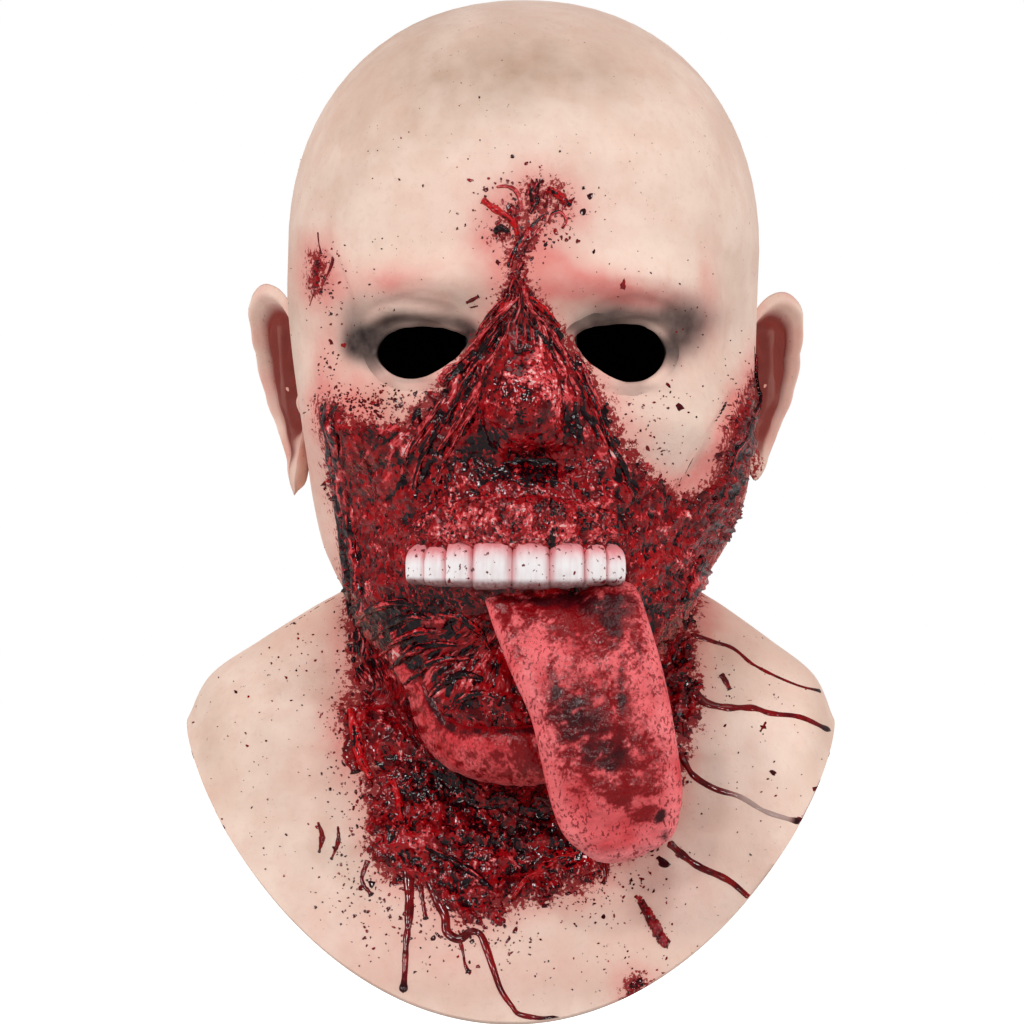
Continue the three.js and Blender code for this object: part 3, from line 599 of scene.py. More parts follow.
BLUSH = [
    (386, 282, 46, 16, -6, 0.75), (340, 300, 14, 34, 0, 0.35), (592, 286, 50, 18, 4, 1.0),
    (556, 268, 24, 26, 0, 0.75), (500, 262, 30, 34, 0, 0.6), (640, 296, 50, 14, 6, 0.75),
    (360, 400, 34, 40, 0, 0.75), (324, 370, 14, 60, 0, 0.55), (690, 500, 40, 34, 0, 0.8),
    (742, 420, 16, 60, 12, 0.6), (300, 470, 12, 40, 0, 0.5), (640, 430, 30, 20, 0, 0.25),
    (530, 215, 70, 46, 0, 0.55), (330, 640, 40, 40, 0, 0.25), (720, 620, 40, 40, 0, 0.25),
    (700, 560, 24, 50, 0, 0.8), (345, 745, 40, 70, 0, 0.35), (420, 930, 90, 40, 0, 0.35),
    (640, 880, 60, 60, 0, 0.3), (420, 350, 60, 50, 0, 0.3), (640, 360, 50, 50, 0, 0.3), (512, 980, 120, 26, 0, 0.2),
    (770, 350, 14, 60, 10, 0.5), (320, 265, 20, 34, 0, 0.5), (734, 412, 9, 18, 0, 0.5), (722, 440, 11, 16, 0, 0.7),
    (709, 468, 13, 16, 0, 0.9), (696, 328, 24, 26, 0, 0.4), (708, 290, 10, 40, 0, 0.4),
]
# This table is partly real grime, as the streaky band on the dome, and partly painted shade along the sides of the
# head and bib and under the jaw.
DIRT_AND_SHADE = [
    (500, 64, 110, 34, 0, 0.8), (470, 110, 120, 40, -10, 0.3), (620, 90, 60, 30, 30, 0.3),
    (384, 120, 50, 60, 30, 0.35), (340, 190, 34, 70, 10, 0.35), (700, 170, 40, 70, -10, 0.2),
    (736, 300, 22, 80, 0, 0.3), (290, 330, 14, 90, 0, 0.25), (612, 180, 60, 26, 15, 0.16),
    (260, 760, 60, 80, 0, 0.22), (330, 620, 26, 60, 20, 0.45), (700, 640, 30, 60, -20, 0.4),
    (210, 730, 16, 60, 0, 0.35), (820, 740, 14, 60, 0, 0.3), (540, 990, 200, 16, 0, 0.2),
    (640, 800, 40, 80, 0, 0.3), (345, 690, 30, 60, 0, 0.35), (374, 408, 36, 22, 0, 1.0),
]
PALE = [
    (620, 240, 70, 40, 0, 0.6), (440, 210, 50, 40, 0, 0.35), (665, 430, 44, 40, 0, 0.9), (640, 390, 60, 18, 0, 0.5),
    (312, 420, 12, 60, 0, 0.3), (756, 760, 50, 60, 0, 0.45), (738, 300, 14, 70, 0, 0.5), (420, 364, 46, 20, 0, 0.2),
    (600, 950, 140, 40, 0, 0.25), (300, 820, 60, 60, 0, 0.2), (550, 130, 120, 40, 0, 0.3),
    (392, 388, 40, 10, 0, 0.4),
]


def painted(u, v, front, marks, layer, rough=0.35):
    """Listed soft marks, broken up by noise, faded out behind the ears."""
    broken = 1 + rough * clumps(u / 26, v / 26, layer)
    return clip01(spots(u, v, marks) * broken) * front


# Edges of the gore in view places
FACE_GORE = [
    (520, 284), (505, 304), (490, 322), (478, 340), (470, 358), (452, 372), (440, 384), (424, 404), (404, 424),
    (376, 428), (352, 422), (336, 408), (322, 402), (322, 420), (328, 450), (335, 485), (342, 520), (346, 555),
    (350, 590), (352, 620), (356, 650), (366, 690), (372, 720), (420, 730), (640, 740), (694, 712), (690, 660),
    (690, 620), (704, 590), (712, 560), (722, 540), (738, 512), (748, 480), (762, 452), (776, 420), (788, 384),
    (792, 356), (784, 344), (770, 356), (754, 384), (738, 412), (728, 440), (720, 470), (706, 492), (690, 500),
    (662, 488), (640, 466), (626, 444), (616, 424), (606, 402), (594, 384), (584, 366), (574, 350), (562, 338),
    (552, 322), (536, 300),
]
NECK_GORE = [
    (346, 600), (352, 640), (352, 690), (344, 704), (342, 722), (352, 744), (364, 770), (370, 800), (372, 840),
    (382, 868), (400, 880), (426, 886), (446, 906), (470, 918), (496, 912), (520, 902), (545, 896), (575, 890),
    (600, 872), (612, 856), (650, 840), (672, 800), (686, 740), (694, 716), (696, 690), (690, 650), (692, 600),
    (640, 590), (500, 590), (400, 590),
]
SPLAT = [
    [(528, 184), (540, 180), (544, 190), (540, 204), (532, 214), (526, 206)],
    [(550, 188), (562, 192), (572, 204), (564, 210), (552, 202)],
    [(520, 236), (534, 220), (546, 214), (540, 228), (530, 244), (524, 262), (520, 292), (510, 294), (510, 270),
     (511, 250)],
    [(492, 228), (502, 224), (510, 232), (502, 238), (494, 236)],
    [(506, 204), (518, 212), (518, 226), (510, 222)],
    [(520, 282), (536, 296), (540, 306), (500, 306), (506, 292)],
]
TEMPLE_GASH = [
    [(314, 256), (319, 256), (321, 266), (320, 280), (317, 292), (313, 290), (312, 272)],
]
BLOTCH = [
    [(627, 984), (634, 978), (645, 982), (654, 992), (649, 1003), (640, 996), (629, 994)],
]
STREAK = [
    [(633, 896), (641, 895), (656, 915), (671, 942), (667, 950), (658, 944), (644, 918)],
]


TORN_EDGE = FACE_GORE[12:22]


def cover(u, v, outlines, ragged=4.0, size=9.0, layer=5):
    """Distance inside any of the outlines, with the edge moved in and out by noise."""
    best = -1e9
    for outline in outlines:
        best = np.maximum(best, inside(u, v, outline))
    moved = ragged * clumps(u / size, v / size, layer, 4, 0.75)
    return best + moved


def polar(u, v, at):
    """Turn in radians from straight down, and distance, about a place of the view."""
    return np.arctan2(u - at[0], v - at[1]), np.hypot(u - at[0], v - at[1])


# Marks of the gore, with the same columns: dried clots, pale flesh and fresh blood
CLOTS = [
    (575, 420, 22, 14, 10, 1.0), (545, 464, 14, 9, 0, 0.9), (482, 446, 30, 10, -38, 1.0),
    (508, 470, 24, 12, 0, 0.45), (520, 476, 60, 10, 0, 0.45), (338, 470, 7, 60, -4, 0.9),
    (350, 560, 8, 60, -4, 0.9), (392, 628, 34, 26, 20, 0.75), (430, 610, 40, 16, 0, 0.8),
    (432, 676, 44, 12, 38, 0.7), (560, 600, 60, 8, 0, 0.7), (352, 640, 8, 60, 0, 0.8), (432, 520, 12, 50, 20, 0.6),
    (622, 470, 8, 26, 8, 0.55), (612, 520, 10, 40, 0, 0.5), (470, 790, 70, 30, 0, 0.65), (500, 850, 60, 30, 0, 0.6),
    (420, 780, 30, 30, 0, 0.35), (690, 650, 14, 40, 0, 0.6), (745, 470, 14, 40, 24, 0.55),
    (560, 540, 10, 14, 0, 0.5), (480, 560, 4, 30, 0, 0.1), (540, 330, 10, 24, -30, 0.4),
    (505, 320, 8, 20, 35, 0.35),
]
FLESH = [
    (530, 378, 26, 26, 0, 1.0), (560, 400, 18, 20, -30, 0.8), (500, 400, 14, 20, 30, 0.5),
    (440, 410, 34, 16, -20, 0.7), (392, 424, 30, 14, 0, 0.6), (530, 508, 60, 18, 0, 0.85),
    (470, 520, 30, 16, 0, 0.7), (590, 500, 26, 16, 0, 0.6), (690, 572, 12, 12, 0, 1.0), (668, 540, 24, 20, 0, 0.3),
    (398, 452, 30, 10, -10, 0.5), (370, 590, 10, 20, 0, 0.3), (428, 690, 22, 12, 40, 0.5),
    (430, 830, 24, 24, 0, 0.35), (560, 870, 40, 12, -10, 0.6), (700, 590, 14, 16, 0, 0.7),
    (540, 620, 30, 12, 0, 0.6), (520, 440, 14, 30, 0, 0.35), (470, 880, 30, 14, 0, 0.4),
    (410, 745, 16, 40, 0, 0.25), (375, 700, 18, 30, 0, 0.35), (340, 500, 5, 60, 0, 0.35),
    (430, 350, 12, 12, 0, 0.4), (648, 520, 12, 30, 0, 0.3),
]
FRESH = [
    (356, 735, 16, 26, 0, 1.0), (590, 590, 60, 14, 0, 0.9), (380, 500, 40, 40, 0, 0.45), (400, 850, 40, 40, 0, 0.5),
    (500, 655, 14, 30, 0, 0.6), (650, 560, 30, 30, 0, 0.5), (580, 860, 40, 14, 0, 0.7), (410, 560, 16, 20, 0, 0.4),
    (470, 640, 30, 20, 0, 0.3), (560, 470, 60, 40, 0, 0.3), (360, 440, 30, 20, 0, 0.4),
]


def strand_course(u, v):
    """Where strands run, and a pair of coordinates that puts one unit across a strand and one along it. Over the nose
    they fan out from its top in two bands, at the torn left edge they follow it, and in the jaw they fan out."""
    warp_u = u + 6 * noise(u / 30, v / 30, 8)
    warp_v = v + 6 * noise(u / 30, v / 30, 9)
    turn, far = polar(warp_u, warp_v, (521, 256))
    band = bell(np.abs(turn) - 0.5, 0.2) + ease(-v, -372, -322)
    nose = clip01(band) * ease(-v, -560, -430) * ease(v, 262, 290)
    edge_far, edge_share = to_line(warp_u, warp_v, TORN_EDGE)
    torn = ease(-edge_far, -26, -10)
    jaw_turn, jaw_far = polar(warp_u, warp_v, (540, 560))
    jaw = 0.9 * ease(v, 606, 630) * ease(-v, -716, -694) * ease(-u, -530, -490) * ease(u, 366, 384)
    at_edge = edge_far < 40
    in_jaw = v > 600
    across = np.where(at_edge, edge_far / 2.6, np.where(in_jaw, jaw_turn * 18, turn * 26))
    along_it = np.where(at_edge, edge_share * 16 + 50, np.where(in_jaw, jaw_far / 26 + 90, far / 34))
    return clip01(np.maximum(np.maximum(nose, torn), jaw)), across, along_it


def gore(u, v):
    """Torn flesh. Strands fan out from the top of the nose and along the torn left edge, folds fan across the jaw,
    and clumps of three sizes lie between. Returns its height in mm over the skin, and masks: dark for the dried clots
    and painted shade in the low places of its forms, pink for flesh, and fresh blood."""
    warp_u = u + 5 * noise(u / 22, v / 22, 8)
    warp_v = v + 5 * noise(u / 22, v / 22, 9)
    turn, far = polar(warp_u, warp_v, (521, 262))
    strands = creases(turn * 11 + 20, far / 46, 0, 3)
    strand_area = ease(-v, -492, -400) * ease(220 - far, 0, 60)
    strand_area = strand_area * ease(u, 380, 470) * ease(-u, -650, -590)
    edge_far, edge_share = to_line(warp_u, warp_v, TORN_EDGE)
    torn = creases(edge_far / 7.5 + 40, edge_share * 16, 4, 3)
    torn_area = ease(-edge_far, -34, -8)
    jaw_turn, jaw_far = polar(warp_u, warp_v, (540, 575))
    folds = creases(jaw_turn * 9.5 + 30, jaw_far / 55, 6, 3)
    fold_area = blob(u, v, (430, 660), (66, 58)) * ease(v, 600, 622)
    streaks = creases(warp_u / 9, warp_v / 42, 9, 3)
    streak_area = ease(v, 610, 650) * ease(-v, -720, -690) * ease(-np.abs(u - 372), -30, -12)
    lumps = creases(warp_u / 15, warp_v / 15, 11, 4)
    knots = clumps(warp_u / 8, warp_v / 8, 2, 3)
    areas = [strand_area, torn_area, fold_area, streak_area]
    forms = [strands, torn, folds, streaks]
    rest = np.ones(np.shape(u))
    form = 0
    for area, shape in zip(areas, forms):
        share = clip01(area) * rest
        form = form + shape * share
        rest = rest - share
    form = form + lumps * rest
    directed = 1 - rest
    pits = -1.6 * blob(u, v, (575, 420), (24, 13), 10) - 1.3 * blob(u, v, (482, 446), (30, 8), -38)
    pits = pits - 1.0 * blob(u, v, (545, 464), (14, 8)) + 1.0 * blob(u, v, (530, 384), (16, 30))
    grain = clumps(u / 3.4, v / 3.4, 12, 2, 0.6)
    line_area = clip01(strand_area + torn_area)
    fibres = mix(noise(turn * 30 + 9, far / 26, 1), noise(edge_far / 3.6, edge_share * 22, 2), torn_area)
    strokes = mix(clumps(warp_u / 5.5, warp_v / 5.5, 14, 3), fibres, line_area)
    chunks = clumps(warp_u / 24, warp_v / 20, 10, 2, 0.6)
    loose = 1 - 0.6 * directed
    height = 1.3 + mix(2.4, 3.4, directed) * (form - 0.55) + 0.6 * knots * loose + 0.1 * grain * loose
    height = height + 0.3 * strokes + 0.6 * chunks + pits
    clot, flesh = clip01(spots(u, v, CLOTS)), clip01(spots(u, v, FLESH))
    low = 0.5 - form
    # Dark: the dried clots, and painted shade in the low places of the forms.
    dark = 0.85 * clot + 1.3 * low - 0.3 * knots * loose - 0.2 * grain * loose - 0.34 * strokes - 0.25 * chunks
    dark = ease(dark, 0.16, 0.66)
    patches = clumps(warp_u / 12, warp_v / 12, 13, 3, 0.7)
    pink = 0.85 * flesh - 1.1 * low + 0.34 * patches + 0.2 * grain * loose + 0.34 * strokes + 0.2 * chunks
    pink = ease(pink, 0.42, 0.95) * (1 - 0.9 * dark)
    fresh = clip01(spots(u, v, FRESH)) * ease(patches + 0.6, 0, 0.7)
    return height, dark, pink, fresh


# How high the gore's lowest form is over the skin and how deep its hidden edge lies under it, in mm, and how far it
# keeps from the eye holes, in view steps
GORE_SEAT, GORE_SINK, HOLE_MARGIN = 0.3, 0.9, 5


def gore_patch(name, outlines, window, step, reach, nodes=(), ragged=4.0, size=9.0, rise=5.0, thin=1.0):
    """A layer of gore on the skin behind a window of the view: a grid of angle and place at a step in mm, raised by
    the gore's height where it lies inside the outlines and sunk under the skin outside them. The cells outside go."""
    (u0, v0), (u1, v1) = window
    edge_u = np.concatenate([np.linspace(u0, u1, 12), np.full(12, u1), np.linspace(u1, u0, 12), np.full(12, u0)])
    edge_v = np.concatenate([np.full(12, v0), np.linspace(v0, v1, 12), np.full(12, v1), np.linspace(v1, v0, 12)])
    angle, place = under(edge_u, edge_v)
    columns = int((u1 - u0) * FACE_STEP * reach / step)
    rows = int((v1 - v0) * FACE_STEP / step)
    angles = np.linspace(angle.min(), angle.max(), columns)
    places = np.linspace(place.min(), place.max(), rows)
    angles, places = np.meshgrid(angles, places)
    base, normal = skin(angles, places)
    u, v = seen(base)
    inner = cover(u, v, outlines, ragged, size)
    hole = np.minimum(eye_gap(base, -1), eye_gap(base, 1))
    inner = np.minimum(inner, 2.7 * hole - HOLE_MARGIN)
    height, dark, pink, fresh = gore(u, v)
    strand, across, along_it = strand_course(u, v)
    full = ease(inner, 0, rise)
    lift = np.maximum(GORE_SEAT + height * thin, 0.18) * full - GORE_SINK * (1 - full)
    shape = Shape().grid(
        base + normal * lift[..., None], of_corners(np.maximum, lift) > 0.05 - GORE_SINK,
        dark=dark, pink=pink, fresh=fresh, strand=strand, across=across, along_it=along_it,
    )
    return shape.piece(name, gore_material, "flesh", *nodes)


class Value:
    """A shader socket that takes part in sums, so that an expression adds its Math nodes."""

    def __init__(self, finish, socket):
        self.finish, self.socket = finish, socket

    def _with(self, operation, *others):
        return self.finish.node("ShaderNodeMath", {"operation": operation}, *others)

    def __add__(self, other):
        return self._with("ADD", self, other)

    __radd__ = __add__

    def __sub__(self, other):
        return self._with("SUBTRACT", self, other)

    def __rsub__(self, other):
        return self._with("SUBTRACT", other, self)

    def __mul__(self, other):
        return self._with("MULTIPLY", self, other)

    __rmul__ = __mul__

    def clamp(self):
        """Held between 0 and 1."""
        return self.finish.node("ShaderNodeClamp", {}, self)


class Finish:
    """A material under construction, with the shader of its surface."""

    def __init__(self, name, **constants):
        self.material = bpy.data.materials.new(name)
        self.material.use_nodes = True
        self.tree = self.material.node_tree
        self.shader = self.tree.nodes["Principled BSDF"]
        for socket, value in constants.items():
            self.shader.inputs[socket.replace("_", " ")].default_value = value
        coordinates = self.tree.nodes.new("ShaderNodeTexCoord")
        self.place = Value(self, coordinates.outputs["Object"])
        self.colour = None

    def node(self, kind, settings, *values, output=0, **named):
        """A node with its settings, and its sockets linked or set by their order or name."""
        node = self.tree.nodes.new(kind)
        for setting, value in settings.items():
            setattr(node, setting, value)
        sockets = [(node.inputs[i], value) for i, value in enumerate(values)]
        sockets += [(node.inputs[key.replace("_", " ")], value) for key, value in named.items()]
        for socket, value in sockets:
            if isinstance(value, Value):
                self.tree.links.new(value.socket, socket)
            else:
                socket.default_value = value
        return Value(self, node.outputs[output])

    def mask(self, name):
        """A number that each corner of the piece has."""
        return self.node("ShaderNodeAttribute", {"attribute_name": name}, output=2)

    def noise(self, scale, detail=3.0, roughness=0.55, stretch=(1, 1, 1)):
        """Noise over the places of the piece in metres."""
        place = self.node("ShaderNodeMapping", {}, Vector=self.place, Scale=stretch)
        return self.node("ShaderNodeTexNoise", {}, Vector=place, Scale=scale, Detail=detail, Roughness=roughness)

    def fibre(self, across, along_it):
        """Noise over a pair of the piece's own coordinates."""
        place = self.node("ShaderNodeCombineXYZ", {}, self.mask(across), self.mask(along_it))
        return self.node("ShaderNodeTexNoise", {}, Vector=place, Scale=1.0, Detail=2.0, Roughness=0.55)

    def step(self, value, low, high):
        """The same smooth step as ease."""
        return self.node(
            "ShaderNodeMapRange", {"interpolation_type": "SMOOTHSTEP"}, value, From_Min=low, From_Max=high
        )

    def blend(self, share, first, second):
        """A mix of two colours by a share."""
        node = self.tree.nodes.new("ShaderNodeMix")
        node.data_type = "RGBA"
        for index, value in ((0, share), (6, first), (7, second)):
            if isinstance(value, Value):
                self.tree.links.new(value.socket, node.inputs[index])
            else:
                node.inputs[index].default_value = (*value, 1) if isinstance(value, tuple) else value
        return Value(self, node.outputs[2])

    def paint(self, share, red, green, blue):
        """A coat of a display's colour over the material's colour so far."""
        self.colour = self.blend(share, self.colour, linear(red, green, blue))

    def bump(self, height, distance, strength=1.0):
        """The normal of a surface with a height, 1 of which is a distance in metres."""
        return self.node("ShaderNodeBump", {}, Strength=strength, Distance=distance, Height=height)

    def feed(self, **values):
        """Links values to the surface's sockets and gives the material."""
        for name, value in values.items():
            self.tree.links.new(value.socket, self.shader.inputs[name.replace("_", " ")])
        return self.material


def linear(red, green, blue):
    """A colour of a display, from 0 to 255, as the shader's linear one."""
    made = []
    for part in (red, green, blue):
        share = part / 255
        made.append(share / 12.92 if share <= 0.04045 else ((share + 0.055) / 1.055) ** 2.4)
    return tuple(made)


def make_skin_material():
    """Latex painted as skin: mottled peach with grimy patches that are partly painted shade, blush, flecks, painted
    shade round the eye holes and in the ear hollows, where the ears' red deepens, a painted highlight on the eye rims
    and a lining painted near black as painted shade; creases and pores in its bump.
    """
    f = Finish("latex_skin", Roughness=0.5, Specular_IOR_Level=0.32)
    wide = f.noise(26, 3, 0.6)
    middle = f.noise(95, 3, 0.6)
    small = f.noise(420, 2, 0.6)
    f.colour = f.blend(f.step(wide, 0.35, 0.66), linear(232, 200, 183), linear(244, 217, 201))
    f.paint(f.step(middle, 0.42, 0.7) * 0.28, 232, 184, 166)
    f.paint(f.step(small, 0.5, 0.75) * 0.14, 196, 160, 140)
    # Pale patches, and a painted highlight along the eye rims.
    f.paint(f.mask("pale") * 0.6, 247, 224, 208)
    # Grime, and painted shade at the sides of the head and bib and under the jaw.
    f.paint(f.mask("dirt") * (0.45 + 0.5 * middle), 150, 118, 92)
    f.paint((f.mask("blush") * (0.5 + 0.5 * middle)).clamp(), 226, 118, 112)
    # Painted shade round the eye holes and in the ear hollows, painted on two lines below.
    soot = (f.mask("soot") * (0.8 + 0.4 * middle)).clamp()
    # The ears' red, partly painted shade, deepening into their hollows.
    f.paint(f.mask("bruise"), 122, 46, 38)
    f.paint(soot, 26, 15, 17)
    haze = f.step(f.mask("haze") * 0.6 + 2.2 * (f.noise(520, 3, 0.75) - 0.5), 0.3, 0.5)
    haze = haze * f.step(f.mask("haze"), 0.0, 0.2)
    f.paint(haze, 140, 24, 26)
    flecks = f.step(f.noise(700, 2, 0.5), 0.7, 0.74) * f.step(f.noise(60, 2, 0.5), 0.44, 0.6)
    f.paint(flecks * 0.7 * f.mask("fleck"), 70, 36, 30)
    # Near black where the dark mask is: painted shade on the lining and on the eye rims inside the holes.
    f.paint(f.mask("dark"), 12, 9, 9)
    rough = 0.46 + 0.16 * middle + 0.1 * small - 0.14 * soot
    pores = f.noise(1300, 1, 0.6)
    lines = f.noise(330, 2, 0.6, (1, 1, 0.35))
    height = 0.5 * pores + 0.8 * lines + 1.2 * middle
    return f.feed(Base_Color=f.colour, Roughness=rough, Normal=f.bump(height, 0.00035, 0.5))


def make_gore_material():
    """Wet flesh: crumbs of salmon, pale pink and near black over deep red, drawn out into fibres where strands run.
    The pale pink is partly painted glints, and the near black partly painted shade in low places.
    The bump is of smooth noises only, so that each glint is as wide as a crumb."""
    f = Finish("wet_gore", Roughness=0.12, Specular_IOR_Level=0.36)
    strand = f.mask("strand")
    fibre = f.fibre("across", "along_it") - 0.5
    crumb = f.noise(600, 2, 0.6) - 0.5
    other = f.noise(760, 2, 0.6, (1, 1.1, 0.8)) - 0.5
    middle = f.noise(230, 2, 0.6)
    loose = 1 - 0.8 * strand
    line = strand * fibre
    f.colour = f.blend(f.step(middle, 0.38, 0.62), linear(80, 1, 6), linear(152, 8, 16))
    f.paint((f.mask("fresh") * 0.9).clamp(), 196, 10, 18)
    salmon = f.mask("pink") * 0.8 + 3.6 * crumb * loose + 6 * line
    f.paint(f.step(salmon, 0.42, 0.68), 214, 72, 76)
    # Pale pink where the salmon runs highest, on crests and fibres: partly light crumbs of flesh, partly painted
    # highlight for glints.
    f.paint(f.step(salmon, 0.98, 1.25), 240, 180, 176)
    # Near black from the dark mask and noise: dried clots, and painted shade in low places.
    murk = f.mask("dark") * 0.68 + 3.6 * other * loose - 6 * line
    f.paint(f.step(murk, 0.26, 0.52), 20, 1, 6)
    height = 0.5 * f.noise(430, 0, 0.5) + 1.2 * f.noise(190, 0, 0.5) + 1.4 * line
    rough = 0.04 + 0.08 * middle + 0.2 * f.step(salmon, 0.5, 1.0)
    return f.feed(Base_Color=f.colour, Roughness=rough, Normal=f.bump(height, 0.0012, 1.0))


def make_blood_material():
    """Runs and drops of blood, dark red and glossy, darker where they are thick."""
    f = Finish("fresh_blood", Roughness=0.1, Specular_IOR_Level=0.4)
    middle = f.noise(240, 2, 0.6)
    f.colour = f.blend(f.step(middle, 0.38, 0.62), linear(96, 2, 6), linear(144, 6, 10))
    f.paint(f.mask("dark"), 44, 2, 6)
    f.paint(f.mask("clear"), 176, 150, 142)
    return f.feed(Base_Color=f.colour, Roughness=0.06 + 0.1 * middle, Normal=f.bump(f.noise(400, 0, 0.5), 0.0004, 0.5))


def make_tooth_material():
    """Painted teeth: white, pink towards the gum and, as painted shade, at the gaps, with a grey worn edge and specks
    of blood.
    """
    f = Finish("painted_teeth", Roughness=0.3, Specular_IOR_Level=0.4)
    small = f.noise(700, 4, 0.6)
    streak = f.noise(520, 3, 0.6, (1, 1, 0.16))
    f.colour = f.blend(f.step(streak, 0.35, 0.7) * 0.5, linear(250, 244, 244), linear(234, 214, 216))
    # Pink of the gum, and painted shade in the gaps between teeth.
    rosy = (f.mask("rosy") * (0.7 + 0.7 * streak)).clamp()
    f.paint(rosy, 226, 138, 142)
    f.paint((f.mask("worn") * (0.5 + 0.9 * small)).clamp(), 150, 108, 108)
    specks = f.step(f.noise(480, 2, 0.55) + 0.05 * f.mask("speck"), 0.66, 0.7)
    f.paint(specks.clamp(), 110, 14, 22)
    return f.feed(Base_Color=f.colour, Roughness=0.24 + 0.2 * small, Normal=f.bump(streak, 0.0004, 0.5))


def make_tongue_material():
    """Painted tongue and lip: salmon with a fine dark stipple, paler pink with painted light on the tongue's tip, and
    stains of blood by its masks.
    """
    f = Finish("tongue_paint", Roughness=0.3, Specular_IOR_Level=0.3)
    wide = f.noise(60, 2, 0.6)
    middle = f.noise(240, 2, 0.65)
    small = f.noise(850, 2, 0.65)
    f.colour = f.blend(f.step(wide, 0.36, 0.64), linear(208, 54, 60), linear(242, 100, 104))
    # Paler pink by the pale mask, with painted light on the tongue's tip.
    f.paint(f.mask("pale") * 0.8, 246, 136, 138)
    stipple = f.step(f.noise(900, 2, 0.6, (1, 1, 0.6)) + 0.07 * f.mask("speck"), 0.6, 0.65)
    f.paint(stipple * 0.8, 124, 14, 22)
    stain = f.step(f.mask("stain") * 1.1 + 0.9 * (middle - 0.5) + 1.3 * (small - 0.5), 0.2, 0.95)
    f.paint(stain, 132, 6, 14)
    murk = f.step(f.mask("dark") * 1.2 + 0.5 * (small - 0.5), 0.15, 1.0)
    f.paint(murk, 62, 5, 12)
    height = 0.8 * f.noise(620, 1, 0.5) + 1.4 * f.noise(240, 1, 0.5)
    rough = 0.2 + 0.3 * small - 0.1 * stain
    return f.feed(Base_Color=f.colour, Roughness=rough, Normal=f.bump(height, 0.0007, 0.7))


def make_floor_material():
    """A pale studio floor, so well lit in the camera's eyes that it is white."""
    f = Finish("studio_floor", Roughness=0.9, Specular_IOR_Level=0.0, Emission_Strength=1.0)
    seen_directly = f.node("ShaderNodeLightPath", {})
    glow = f.blend(seen_directly, (0.0, 0.0, 0.0), (1.0, 1.0, 1.0))
    colour = f.blend(f.noise(3, 2, 0.5) * 0.1, (0.5, 0.5, 0.5), (0.48, 0.48, 0.48))
    return f.feed(Base_Color=colour, Emission_Color=glow)


skin_material = make_skin_material()
gore_material = make_gore_material()
blood_material = make_blood_material()
tooth_material = make_tooth_material()
tongue_material = make_tongue_material()


def skin_masks(points):
    """The painted masks of the skin where points are seen from the front."""
    u, v = seen(points)
    front = ease(-points[..., 1], -15, 25)
    near = cover(u, v, [FACE_GORE], 3.0, 7.0)
    near = np.maximum(near, cover(u, v, [NECK_GORE], 3.0, 7.0, 7))
    near = np.maximum(near, cover(u, v, SPLAT + TEMPLE_GASH + BLOTCH, 2.0, 5.0, 8) - 1)
    haze = ease(near, -17, 3) * front
    behind_head = 0.25 * ease(clumps(points[..., 0] / 60, points[..., 2] / 60, 10), 0.1, 0.9)
    return {
        # Painted shade in the eye sockets.
        "soot": 1 - np.exp(-3.2 * painted(u, v, front, SOCKET_SHADE, 1, 0.12) ** 1.4),
        "blush": clip01(painted(u, v, front, BLUSH, 2, 0.16) + 0.55 * ease(near, -34, 0) * front),
        # Grime, and painted shade at the sides and under the jaw.
        "dirt": clip01(0.8 * painted(u, v, front, DIRT_AND_SHADE, 3, 0.25) + behind_head),
        "pale": painted(u, v, front, PALE, 4, 0.3),
        "haze": haze,
        "fleck": clip01(0.35 + 0.65 * front),
    }


def off_eyes(points, margin):
    """Which cells of a closed grid keep a margin in mm from both eye holes."""
    gap = np.minimum(eye_gap(points, -1), eye_gap(points, 1))
    return of_corners(np.minimum, np.hstack([gap, gap[:, :1]])) > margin


def skin_angles(count):
    """Angles all round, closer together in front."""
    turn = np.linspace(-math.pi, math.pi, count, endpoint=False)
    return turn - 0.52 * np.sin(turn)


def make_skin():
    """The wall of latex: an outer grid round the head and down to the hem, an inner one back up, and eye rims."""
    columns = 312
    dome = np.linspace(0.03, 2.2, 40, endpoint=False)
    face = np.linspace(2.2, 9.6, 130, endpoint=False)
    bib = np.linspace(9.6, HEM, 52)
    places = np.concatenate([dome, face, bib])
    angle, place = np.meshgrid(skin_angles(columns), places)
    outer, _ = skin(angle, place)
    masks = skin_masks(outer)
    shape = Shape().grid(outer, off_eyes(outer, 0.4), wrap=True, **masks)
    crown_masks = {name: float(values[0].mean()) for name, values in masks.items()}
    shape.cap(outer[0], (0, 0, WALL), **crown_masks)
    inner_rows = np.unique(np.append(np.arange(0, len(places), 4), len(places) - 1))
    lining, _ = skin(angle[inner_rows], place[inner_rows], -WALL, fine=False)
    # The lining is painted near black: painted shade for the inside of the mask, seen through the holes.
    shape.grid(lining, off_eyes(lining, 1.0), wrap=True, flip=True, dark=1.0)
    shape.cap(lining[0], (0, 0, 0), flip=True, dark=1.0)
    turns = np.linspace(0, math.pi, 7)[:, None, None]
    middle = (outer[-1] + lining[-1]) / 2
    across = (outer[-1] - lining[-1]) / 2
    low = np.array([0, 0, -0.6])
    hem = middle + across * np.cos(turns) + low * np.sin(turns)
    hem_masks = {name: np.broadcast_to(values[-1], hem.shape[:2]) for name, values in masks.items()}
    shape.grid(hem, wrap=True, **hem_masks)
    for side in EYES:
        add_eye_rim(shape, side)
    return shape.piece("mask_skin", skin_material, "skin", "head_shell")


